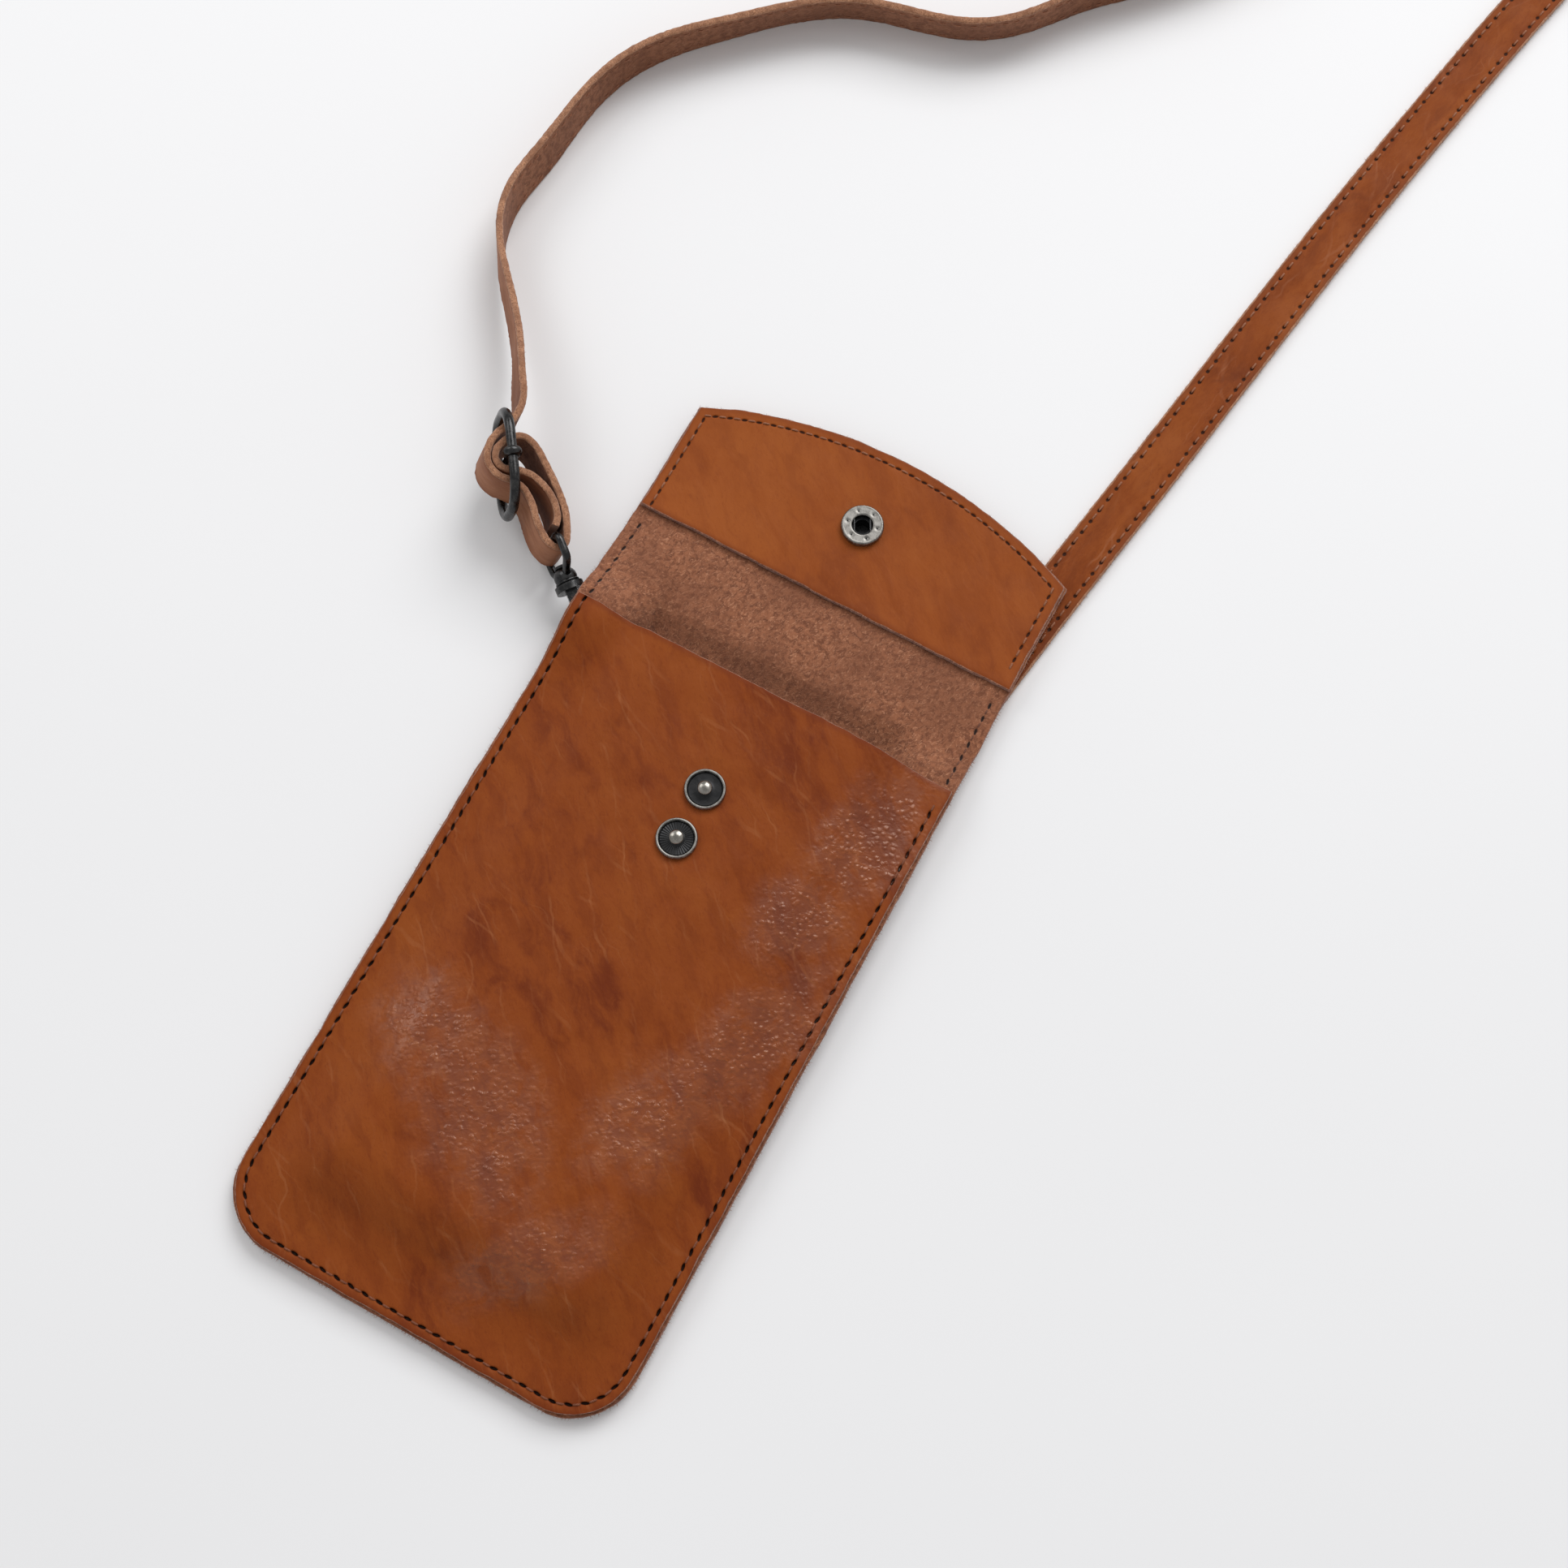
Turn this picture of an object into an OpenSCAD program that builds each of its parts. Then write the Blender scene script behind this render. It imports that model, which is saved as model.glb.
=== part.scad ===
// Phone pouch in leather: a stitched pocket with a fold-over flap, a press
// snap with two studs, and a long strap that is sewn on at the right and
// hooked to a ring at the left. It lies open on its back.
// X runs across the pouch, +Y towards the flap and +Z up from the table.
// Heights along the pouch are counted from its bottom edge and py() moves
// them into the part's frame, whose origin is the middle of the footprint.

/* [Pouch] */
// Width of the pouch over its seams
pouch_w = 114; // [108:1:124]
// Height of the pocket, from the bottom edge to the mouth
pocket_len = 186; // [176:1:200]
// Distance from the mouth of the pocket to the fold line of the flap
neck_len = 12; // [10:0.5:18]
// Distance from the fold line to the corners of the open flap
flap_side_len = 54.5; // [50:0.5:62]
// How far the curved end of the flap bows out past its corners
flap_bow = 12.5; // [8:0.5:20]
// Radius of the two bottom corners
corner_r = 18; // [10:1:26]
// Thickness of the leather of the body and the flap
leather = 1.7; // [1.4:0.1:1.9]
// Width of the flat seam band round the pocket
seam_band = 7; // [5:0.5:8]
// Gap left by the glue between the two seamed panels
glue_gap = 0.1; // [0.05:0.05:0.2]

/* [Pocket shape] */
// Height of the inside of the front panel over the table
crown_z = 11.6; // [10.5:0.1:13]
// Distance from a side of the pouch to the level top of the front panel
crown_in = 18; // [16:0.5:27]
// Height along the pouch where the front panel is fully raised
crown_start = 33; // [24:1:44]
// Distance from the left side to where the back panel lies on the table
rest_left_in = 21; // [20.5:0.5:24]
// Distance from the right side to where the back panel lies on the table
rest_right_in = 21.5; // [21:0.5:24]
// Height of the bottom seam over the table
seam_low = 1.5; // [0.8:0.1:3]
// Height of the side seams beside the mouth over the table
seam_high = 5; // [4.6:0.1:6]
// How far the hook lifts the left side seam
lift = 6.2; // [6.1:0.1:6.8]
// Half length of the stretch of seam that the hook lifts
lift_len = 13; // [12:0.5:18]

/* [Flap] */
// Height of the open flap over the table
flap_z = 3; // [2.8:0.1:3.6]
// Distance from the fold line to where the lining of the flap begins
lining_gap = 20.8; // [16:0.2:28]
// Thickness of the lining of the flap
lining = 1.4; // [1:0.1:1.6]
// How far the lining stays inside the edge of the flap
lining_inset = 0.4; // [0:0.1:1]
// Gap between the back panel and the flap at the fold line
fold_gap = 0.3; // [0.2:0.1:0.6]

/* [Press snap] */
// Diameter of the socket ring
socket_d = 11.8; // [11:0.1:13]
// Height of the socket ring over the lining
socket_h = 1.9; // [1.7:0.1:2.1]
// Diameter of the hole in the socket
socket_hole_d = 5.7; // [5.4:0.1:6.4]
// Diameter of the round spring chamber in the socket
chamber_d = 8.4; // [7.6:0.1:9.2]
// Diameter of the spring wire
spring_wire_d = 0.7; // [0.5:0.05:0.75]
// Diameter of the cap on the outside of the flap
cap_d = 12.4; // [11:0.1:13]
// Height of the cap
cap_h = 1.8; // [1.4:0.1:2]
// Outer diameter of the hollow rivet of the cap
cap_rivet_d = 4.8; // [4.6:0.1:5]
// Diameter of a stud plate
stud_d = 11; // [10:0.1:12]
// Height of the raised rim of a stud
rim_h = 1.1; // [0.8:0.1:1.2]
// Width of the raised rim of a stud
rim_w = 0.9; // [0.6:0.1:1.2]
// Diameter of the ball of a stud
ball_d = 3.9; // [3.5:0.1:3.9]
// Height of the ball over the leather
ball_top = 3; // [2.7:0.1:3.1]
// Distance between the two studs
stud_pitch = 15; // [13:0.5:20]
// Distance from the curved end of the flap to the middle of the socket
socket_in = 23.3; // [18:0.1:27]
// Gap between the socket and the rim of a stud when the flap is closed
snap_gap = 0.2; // [0.1:0.05:0.4]
// Diameter of the flange of a stud eyelet inside the pocket
eyelet_d = 9; // [8:0.1:10]
// Thickness of the flange of a stud eyelet
eyelet_h = 0.5; // [0.3:0.05:0.55]

/* [Ring and tab] */
// Diameter of the wire of the ring
ring_wire_d = 1.8; // [1.6:0.1:1.9]
// Inside width of the ring
ring_inside_w = 9.4; // [9:0.2:10]
// Length of the straight sides of the ring
ring_side = 4; // [3:0.5:5]
// Height of the bar of the ring over the table
ring_bar_z = 2.5; // [2.45:0.05:2.6]
// Width of the leather tab
tab_w = 9; // [7:0.5:9.6]
// Length of the tab below the bar of the ring
tab_len = 24; // [18:1:28]
// Thickness of the leather of the tab
tab_leather = 1.2; // [1:0.05:1.3]
// Height of the doubled tail of the tab over the table
tab_z = 0.35; // [0.3:0.05:0.5]

/* [Hook] */
// Distance from the edge of the pouch to the collar of the hook
hook_out = 3.6; // [3.6:0.1:4.4]
// Distance from the mouth of the pocket up to the collar of the hook
hook_up = 1.6; // [1.4:0.1:2]
// Height of the middle of the collar over the table
hook_z = 8.3; // [8.3:0.1:8.6]
// Direction of the strap end, seen from above, in degrees from +X
hook_turn = 142; // [138:1:146]
// Slope of the hook, in degrees, with the strap end up
hook_pitch = 10; // [9:0.5:11]
// Turn of the strap end about the line of the hook, in degrees
hook_roll = 15; // [10:1:20]
// Thickness of the claw
claw_t = 3.2; // [2.8:0.1:3.6]
// Outside height of the claw
claw_h = 7.8; // [7.2:0.1:8]
// Thickness of the arms of the claw
claw_arm = 1.4; // [1.3:0.05:1.5]
// Distance from the collar to the end of the claw
claw_len = 14.5; // [14:0.1:15]
// Diameter of the collar
collar_d = 8; // [7:0.1:8.6]
// Length of the collar
collar_len = 1.9; // [1.5:0.1:2.2]
// Diameter of the pin of the gate
pin_d = 1.2; // [1:0.05:1.3]
// Running clearance round pins and stems
running_gap = 0.05; // [0.03:0.01:0.08]

/* [Swivel eye] */
// Diameter of the swivel barrel
barrel_d = 6.4; // [6:0.1:7]
// Length of the swivel barrel
barrel_len = 4.4; // [3.8:0.1:4.6]
// Diameter of the stem inside the barrel
stem_d = 2.4; // [2.2:0.1:2.6]
// Diameter of the wire of the eye
eye_wire_d = 2.2; // [1.8:0.1:2.3]
// Distance from the collar to the far bar of the eye
eye_reach = 13; // [12.6:0.1:13.4]

/* [Slide buckle] */
// Length of the frame of the slide buckle
slide_len = 30; // [29.6:0.1:30.6]
// Width of the frame of the slide buckle, which stands up
slide_w = 22; // [21.8:0.1:23]
// Diameter of the wire of the frame
slide_wire_d = 2.8; // [2.4:0.1:2.9]
// Diameter of the middle bar
slide_bar_d = 2.6; // [2.2:0.1:2.7]
// Outside radius of the corners of the frame
slide_corner_r = 7; // [5:0.1:7.4]

/* [Strap] */
// Width of the strap
strap_w = 14; // [12:0.1:14.2]
// Thickness of the strap
strap_t = 2; // [1.6:0.1:2.1]

/* [Stitching] */
// Distance from one stitch to the next
stitch_pitch = 4.1; // [3.6:0.1:5]
// Length of a stitch that shows
stitch_len = 2.3; // [1.8:0.1:2.8]
// Thickness of the thread
thread_d = 0.7; // [0.4:0.05:0.8]
// Distance of the seam from the edge
seam_inset = 3.2; // [2.6:0.1:3.6]

/* [Hidden] */

cut = 1;
$fn = 48;
half = pouch_w / 2;
quarter_turn = 90;
columns = 32;
pocket_rows = 26;
neck_rows = 5;
swell_share = 2.2;
seam_rise_share = 0.75;

// Heights along the pouch, from its bottom edge
fold_len = pocket_len + neck_len;
corner_len = fold_len + flap_side_len;
total_len = corner_len + flap_bow;
lining_start = fold_len + lining_gap;
socket_len = total_len - socket_in;

// Half widths of the level top of the pocket and of its flat back
crown_half = half - crown_in;
rest_left = half - rest_left_in;
rest_right = half - rest_right_in;

// Places that several pieces share
front_top = crown_z + leather;
lining_top = flap_z + leather + lining;
socket_top = lining_top + socket_h;
hinge_z = (socket_top + front_top + rim_h + snap_gap) / 2;
upper_stud_len = 2 * fold_len - socket_len;
lower_stud_len = upper_stud_len - stud_pitch;
lift_at = pocket_len - 3 / 13 * lift_len;
neck_start = pocket_len + leather;
flap_r = (half * half + pow(total_len - corner_len, 2)) / (2 * (total_len - corner_len));

// Claw of the hook, measured from the collar against the pull of the strap
claw_r = claw_h / 2;
claw_seat = claw_len - claw_arm - ring_wire_d * 1.15;
gate_x = -claw_len * 0.39;
gate_z = -claw_h * 0.31;
gate_tip_x = -claw_len * 0.7;
gate_hub_r = pin_d * 1.1;
gate_hub_half = claw_t * 0.28;
slot_half = gate_hub_half + running_gap;
neck_half = claw_h * 0.27;
collar_back = -collar_len * 0.58;
collar_front = collar_back + collar_len;
head_start = collar_front + running_gap * 4 + barrel_len + running_gap * 2;
head_len = barrel_len * 0.16;
head_r = barrel_d / 3;

// Ring: its bar, the point of its bow that the claw holds, and its slope
ring_r = (ring_inside_w + ring_wire_d) / 2;
seat_side = ring_r * cos(hook_turn);
seat_reach = ring_side + ring_r * sin(hook_turn);
seat = hook_point([-claw_seat, 0, 0]);
ring_pitch = asin((seat[2] - ring_bar_z) / seat_reach);
ring_bar = [seat[0] - seat_side, seat[1] - seat_reach * cos(ring_pitch), ring_bar_z];

// Slide buckle: middle bar and direction, in the frame of the hook
slide_at = [37.6, 3.2];
slide_turn = -17;
slide_side = slide_w / 2 - slide_wire_d / 2;
slide_reach = slide_len / 2 - slide_wire_d / 2;

// Route of the strap in and round the slide buckle and the eye, as [x, y]
// in the frame of the hook, from the free strap to the sewn end
adjuster_route = [[54.6, -8.2], [53.2, -8.1], [51, -7], [48.9, -4.9], [47, -2.4], [45.9, 0.8],
    [45, 4], [43.7, 6.8], [41.6, 9.1], [38.8, 10.5], [35.6, 10.7], [32.7, 9.2], [31, 6.6],
    [29.4, 4.2], [27, 3], [23.5, 2.8], [20, 3.2], [16.6, 3.4], [13.4, 3.1], [10.8, 2],
    [9.6, 0], [10.8, -2], [13.4, -3.4], [16.8, -4.6], [20.4, -5.3], [24.2, -5.5],
    [28.2, -5.4], [32, -5.2], [36, -4.9], [39.4, -4.1], [41.8, -2.3], [42.5, 0.4],
    [41.9, 3.3], [40.6, 5.6], [38.3, 6.9], [35.8, 6.5], [34.2, 4.6], [33, 2.3], [31, 0.2],
    [28.4, -1.5], [25.4, -2.9], [22.4, -3.2], [19.4, -2.9]];

// Route of the free strap, as [x, y from the bottom edge, z, roll], from the
// slide buckle round the unseen loop to the sewn end. Roll 90 stands on edge.
strap_route = [[-98.77, 227.48, 15.78, 75], [-99.63, 228.14, 15.97, 75], [-100.48, 228.81, 16.16, 75],
    [-103.2, 234.9, 14.9, 76], [-108.1, 241.5, 13, 77], [-124.9, 260.5, 9.4, 81], [-130.8, 268.2, 8.4, 85],
    [-136, 288.2, 7.3, 92], [-134.1, 298.7, 7.2, 93], [-132.6, 323.1, 7.2, 88],
    [-130, 333.8, 7.2, 86], [-117, 354.1, 7.2, 80], [-96.6, 374.4, 7.2, 74],
    [-73.4, 388.6, 7.2, 74], [-58.8, 391.6, 7.2, 74], [-46.4, 395.2, 7.2, 74],
    [-32.2, 406.6, 7.2, 78], [-20.1, 423.7, 7.2, 84], [-4, 440, 7.2, 86], [14, 464, 7.2, 88],
    [22, 496, 7.2, 90], [17, 532, 7.2, 90], [8, 568, 7.2, 90], [5, 606, 7.2, 90],
    [20, 642, 7.2, 90], [54, 664, 7.2, 90], [92, 660, 7.2, 90], [116, 632, 7.2, 88],
    [119, 596, 7, 68], [112, 560, 5.4, 42], [103.5, 528, 3.2, 18], [97.5, 500, 1.8, 4],
    [91.4, 472, 1.3, 0], [75.5, 385, 1.2, 0], [60.9, 290, 1.2, 0], [55.4, 256, 1.2, 0],
    [50.4, 222, 1.2, 0], [47.4, 200, 1.2, 0], [47, 180, 1.3, 0], [47, 158, 1.3, 0]];

// Part frame, curves and transforms
function py(y) = y - total_len / 2;
function clamp(t) = min(max(t, 0), 1);
function ease(t) = let (c = clamp(t)) c * c * (3 - 2 * c);
function unit(v) = v / norm(v);
function hook_point(p) =
    let (c = p[0] * cos(hook_pitch) - p[2] * sin(hook_pitch))
    [c * cos(hook_turn) - p[1] * sin(hook_turn) - half - hook_out,
     c * sin(hook_turn) + p[1] * cos(hook_turn) + pocket_len + hook_up,
     p[0] * sin(hook_pitch) + p[2] * cos(hook_pitch) + hook_z];

// Outline and heights of the pocket. A height is worked out as if the
// rounded corners reached the full width.
function half_w(y) = y < corner_r
    ? half - corner_r + sqrt(pow(corner_r, 2) - pow(corner_r - y, 2)) : half;
function wide(x, y) = abs(x) * half / half_w(y);
function seam_z(x, y) = seam_low
    + (seam_high - seam_low) * ease(y / (pocket_len * seam_rise_share))
    + (x < 0 ? lift * exp(-pow((y - lift_at) / lift_len, 2)) : 0);
function rise(x, y) =
    let (rest = x < 0 ? rest_left : rest_right,
         side = clamp((wide(x, y) - rest) / (half - seam_band - rest)),
         heel = clamp((corner_r - y) / (corner_r - seam_band)))
    1 - pow((1 - side) * (1 - heel), swell_share);
function back_z(x, y) =
    let (z = seam_z(x, y) * rise(x, y))
    z + (flap_z - z) * ease((y - neck_start) / (fold_len - neck_start));
function crown(x, y) =
    (1 - ease((wide(x, y) - crown_half) / (half - seam_band - crown_half)))
    * ease((y - seam_band) / (crown_start - seam_band));
function front_z(x, y) =
    let (z = back_z(x, y) + leather + glue_gap)
    z + (crown_z - z) * crown(x, y);

pocket_ys = [for (j = [0:pocket_rows]) pocket_len * (1 - cos(180 * j / pocket_rows)) / 2];
neck_ys = [for (j = [1:neck_rows])
    pocket_len + (fold_len - fold_gap / 2 - pocket_len) * j / neck_rows];
function row_x(y) = [for (i = [0:columns]) half_w(y) * sin(90 * (2 * i / columns - 1))];

// A panel of leather as a closed shell between two sheets of points
module panel(ys, low) {
    rows = len(ys);
    n = columns + 1;
    points = [for (level = [0, leather], y = ys, x = row_x(y)) [x, py(y), level + low(x, y)]];
    top = rows * n;
    cells = [for (j = [0:rows - 2], i = [0:columns - 1]) j * n + i];
    rim = concat([for (i = [0:columns]) i],
                 [for (j = [1:rows - 1]) j * n + columns],
                 [for (i = [columns - 1:-1:0]) (rows - 1) * n + i],
                 [for (j = [rows - 2:-1:1]) j * n]);
    last = len(rim) - 1;
    faces = concat(
        [for (c = cells) [c, c + 1, c + n + 1]],
        [for (c = cells) [c, c + n + 1, c + n]],
        [for (c = cells) [top + c, top + c + n + 1, top + c + 1]],
        [for (c = cells) [top + c, top + c + n, top + c + n + 1]],
        [for (k = [0:last]) [rim[k], top + rim[k], top + rim[(k + 1) % (last + 1)]]],
        [for (k = [0:last]) [rim[k], top + rim[(k + 1) % (last + 1)], rim[(k + 1) % (last + 1)]]]);
    polyhedron(points = points, faces = faces, convexity = 4);
}

// Round wire along a flat closed loop of points with bent corners
module wire_loop(points, r, bend) {
    n = len(points);
    for (k = [0:n - 1]) {
        a = points[(k + n - 1) % n];
        b = points[k];
        c = points[(k + 1) % n];
        into = unit(b - a);
        out = unit(c - b);
        turn = acos(into * out);
        trim_b = bend * tan(turn / 2);
        next_turn = acos(out * unit(points[(k + 2) % n] - c));
        trim_c = bend * tan(next_turn / 2);
        run = norm(c - b) - trim_b - trim_c;
        translate(b + out * trim_b)
            rotate([0, 0, atan2(out[1], out[0])])
                rotate([0, 90, 0]) cylinder(h = run, r = r);
        start = b - into * trim_b;
        translate(start + bend * [-into[1], into[0]])
            rotate([0, 0, atan2(into[1], into[0]) - 90])
                rotate_extrude(angle = turn) translate([bend, 0]) circle(r = r);
    }
}

// Straight wire between two points of the x and z plane, with a round end
module rod(a, b, r) {
    d = b - a;
    translate([a[0], 0, a[1]])
        rotate([0, atan2(d[0], d[1]), 0]) cylinder(h = norm(d), r = r);
    translate([b[0], 0, b[1]]) sphere(r = r);
}

module on_hook() {
    translate([-half - hook_out, py(pocket_len + hook_up), hook_z])
        rotate([0, 0, hook_turn]) rotate([0, -hook_pitch, 0]) children();
}

// What swings with the strap: turned about the line of the hook
module on_eye() {
    on_hook() rotate([hook_roll, 0, 0]) children();
}

// A drawing in x and z of the hook, extruded sideways about the middle
module plate(t) {
    rotate([90, 0, 0]) linear_extrude(height = t, center = true) children();
}

// Smooth curve through points, and the band of leather along it
function catmull(a, b, c, d, t) =
    0.5 * ((2 * b) + (c - a) * t + (2 * a - 5 * b + 4 * c - d) * t * t
           + (3 * b - a - 3 * c + d) * t * t * t);
function smooth(route, steps) = let (n = len(route)) concat(
    [for (k = [0:n - 2], s = [0:steps - 1])
        catmull(route[max(k - 1, 0)], route[k], route[k + 1], route[min(k + 2, n - 1)],
                s / steps)],
    [route[n - 1]]);
function heading(path, k) =
    unit(path[min(k + 1, len(path) - 1)] - path[max(k - 1, 0)]);

module band(path, t) {
    n = len(path);
    left = [for (k = [0:n - 1]) let (h = heading(path, k)) path[k] + t / 2 * [-h[1], h[0]]];
    right = [for (k = [n - 1:-1:0]) let (h = heading(path, k)) path[k] - t / 2 * [-h[1], h[0]]];
    polygon(concat(left, right));
}

// Section of the strap: a flat bar with eased corners
ease_share = 0.3;
section = let (w = strap_w / 2, t = strap_t / 2, e = strap_t * ease_share)
    [[w, t - e], [w - e, t], [e - w, t], [-w, t - e],
     [-w, e - t], [e - w, -t], [w - e, -t], [w, e - t]];

function side_of(path, k) =
    let (h = heading([for (p = path) [p[0], p[1], p[2]]], k),
         across = unit(cross(h, [0, 0, 1])), up = cross(across, h), roll = path[k][3])
    [across * cos(roll) + up * sin(roll), cross(h, across * cos(roll) + up * sin(roll))];

module swept_strap(path) {
    n = len(path);
    m = len(section);
    points = [for (k = [0:n - 1]) let (f = side_of(path, k), p = path[k])
        for (s = section) [p[0], py(p[1]), p[2]] + s[0] * f[0] + s[1] * f[1]];
    faces = concat(
        [[for (i = [m - 1:-1:0]) i]],
        [for (k = [0:n - 2], i = [0:m - 1]) let (j = (i + 1) % m)
            [k * m + i, k * m + j, (k + 1) * m + j]],
        [for (k = [0:n - 2], i = [0:m - 1]) let (j = (i + 1) % m)
            [k * m + i, (k + 1) * m + j, (k + 1) * m + i]],
        [[for (i = [0:m - 1]) (n - 1) * m + i]]);
    polyhedron(points = points, faces = faces, convexity = 6);
}

// Outline of the open flap above a given height
module flap_outline(from, inset) {
    intersection() {
        translate([-half + inset, py(from)])
            square([pouch_w - 2 * inset, total_len - from - inset]);
        translate([0, py(total_len - flap_r)]) circle(r = flap_r - inset, $fn = 180);
    }
}

// Pocket
module back_panel() {
    color([0.55, 0.31, 0.2]) panel(concat(pocket_ys, neck_ys), function(x, y) back_z(x, y));
}

module front_panel() {
    color([0.62, 0.31, 0.13]) difference() {
        panel(pocket_ys, function(x, y) front_z(x, y));
        for (y = [upper_stud_len, lower_stud_len])
            translate([0, py(y), crown_z - cut])
                cylinder(h = leather + 2 * cut, d = stud_shank_d + 2 * running_gap);
    }
}

// Leather tab, folded round the bar of the ring and sewn down under the seam
module ring_tab() {
    hole_r = ring_wire_d / 2 + 2 * running_gap;
    fold_r = hole_r + tab_leather;
    tail_low = tab_z - ring_bar_z;
    tail_high = tail_low + 2 * tab_leather;
    neck = fold_r * 2.6;
    color([0.58, 0.3, 0.15])
        translate([ring_bar[0] - tab_w / 2, py(ring_bar[1]), ring_bar_z])
            rotate([90, 0, 90]) linear_extrude(height = tab_w) difference() {
                union() {
                    circle(r = fold_r);
                    polygon([[0, fold_r], [-fold_r / 2, fold_r * 0.9], [-neck, tail_high],
                             [-tab_len, tail_high], [-tab_len, tail_low], [-neck, tail_low],
                             [-fold_r / 2, -fold_r * 0.9], [0, tail_low]]);
                }
                circle(r = hole_r);
            }
}

// Studs: plate with a raised rim, a recessed dish and a ball post
stud_shank_d = ball_d * 0.82;
module stud(y) {
    dish = rim_h * 0.35;
    r = stud_d / 2;
    ball_r = ball_d / 2;
    neck_r = ball_r * 0.76;
    shank_low = -leather;
    color([0.2, 0.2, 0.21]) translate([0, py(y), front_top]) rotate_extrude()
        polygon([[0, shank_low], [stud_shank_d / 2, shank_low], [stud_shank_d / 2, 0], [r, 0],
                 [r, rim_h * 0.6], [r - rim_w * 0.3, rim_h], [r - rim_w * 0.7, rim_h],
                 [r - rim_w, rim_h * 0.7], [r - rim_w * 1.3, dish], [neck_r * 1.5, dish],
                 [neck_r, dish * 2], [neck_r, ball_top * 0.55], [ball_r, ball_top * 0.72],
                 [ball_r, ball_top * 0.84], [ball_r * 0.8, ball_top * 0.95],
                 [ball_r * 0.4, ball_top], [0, ball_top]]);
}

// Flange of the eyelet that holds a stud, inside the pocket
module stud_eyelet(y) {
    color([0.45, 0.45, 0.46]) translate([0, py(y), crown_z - eyelet_h]) difference() {
        cylinder(h = eyelet_h, d = eyelet_d);
        translate([0, 0, -cut]) cylinder(h = eyelet_h + 2 * cut, d = stud_shank_d * 0.7);
    }
}

module upper_stud() { stud(upper_stud_len); }
module lower_stud() { stud(lower_stud_len); }
module upper_stud_eyelet() { stud_eyelet(upper_stud_len); }
module lower_stud_eyelet() { stud_eyelet(lower_stud_len); }

// Flap
module snap_hole() {
    translate([0, py(socket_len)]) circle(d = cap_rivet_d + 2 * running_gap);
}

module flap_panel() {
    color([0.6, 0.3, 0.13]) translate([0, 0, flap_z]) linear_extrude(height = leather)
        difference() {
            flap_outline(fold_len + fold_gap / 2, 0);
            snap_hole();
        }
}

module flap_lining() {
    color([0.66, 0.35, 0.15]) translate([0, 0, flap_z + leather])
        linear_extrude(height = lining) difference() {
            flap_outline(lining_start, lining_inset);
            snap_hole();
        }
}

// Cap on the outside of the flap, with the hollow rivet that holds the socket
module snap_cap() {
    r = cap_d / 2;
    rivet_r = cap_rivet_d / 2;
    bore_r = rivet_r * 0.88;
    rivet_top = leather + lining + socket_h * 0.16;
    color([0.3, 0.3, 0.31]) translate([0, py(socket_len), flap_z]) rotate_extrude()
        polygon([[0, -cap_h], [r * 0.45, -cap_h * 0.97], [r * 0.75, -cap_h * 0.82],
                 [r * 0.93, -cap_h * 0.5], [r, 0], [rivet_r, 0], [rivet_r, rivet_top],
                 [bore_r, rivet_top], [bore_r, -cap_h * 0.5], [0, -cap_h * 0.5]]);
}

// Socket ring with a chamber for the spring
module snap_socket() {
    r = socket_d / 2;
    hole_r = socket_hole_d / 2;
    room_r = chamber_d / 2;
    floor_h = socket_h * 0.2;
    roof = socket_h * 0.7;
    seat_r = cap_rivet_d / 2 + running_gap;
    color([0.62, 0.61, 0.58]) translate([0, py(socket_len), lining_top]) rotate_extrude()
        polygon([[seat_r, 0], [r * 0.97, 0], [r, socket_h * 0.3], [r * 0.98, socket_h * 0.75],
                 [r * 0.92, socket_h], [hole_r * 1.25, socket_h], [hole_r, socket_h * 0.86],
                 [hole_r, roof], [room_r, roof], [room_r, floor_h], [seat_r, floor_h]]);
}

// The two sprung wires that close behind the ball
module snap_spring() {
    r = spring_wire_d / 2;
    side = ball_d / 2 + running_gap + r;
    reach = sqrt(pow(chamber_d / 2 - running_gap, 2) - pow(side + r, 2));
    z = lining_top + socket_h * 0.45;
    color([0.5, 0.5, 0.5]) for (s = [-1, 1])
        translate([s * side, py(socket_len) - reach, z])
            rotate([-90, 0, 0]) cylinder(h = 2 * reach, r = r);
}

// Ring in the tab, with a straight bar and a half-round bow
module d_ring() {
    r = ring_wire_d / 2;
    color([0.3, 0.3, 0.31]) translate([ring_bar[0], py(ring_bar[1]), ring_bar[2]])
        rotate([ring_pitch, 0, 0]) {
            translate([-ring_r, 0, 0]) rotate([0, 90, 0]) cylinder(h = 2 * ring_r, r = r);
            for (s = [-1, 1]) {
                translate([s * ring_r, 0, 0]) sphere(r = r);
                translate([s * ring_r, 0, 0]) rotate([-90, 0, 0])
                    cylinder(h = ring_side, r = r);
            }
            translate([0, ring_side, 0]) rotate_extrude(angle = 180)
                translate([ring_r, 0]) circle(r = r);
        }
}

// Hook: claw on edge, tapered neck, collar and the stem of the swivel
module claw_outline() {
    nose = -claw_len + claw_r;
    shoulder = -claw_len * 0.6;
    root = -claw_len * 0.26;
    inner_r = claw_r - claw_arm;
    difference() {
        union() {
            translate([nose, 0]) circle(r = claw_r);
            polygon([[nose, claw_r], [shoulder, claw_r], [root, neck_half],
                     [collar_back + cut / 2, neck_half], [collar_back + cut / 2, -neck_half],
                     [root, -neck_half], [shoulder, -claw_r], [nose, -claw_r]]);
        }
        translate([nose, 0]) circle(r = inner_r);
        polygon([[nose, inner_r], [shoulder, inner_r], [gate_x - gate_hub_r, inner_r * 0.6],
                 [gate_x - gate_hub_r, -inner_r], [nose, -inner_r]]);
    }
}

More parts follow.
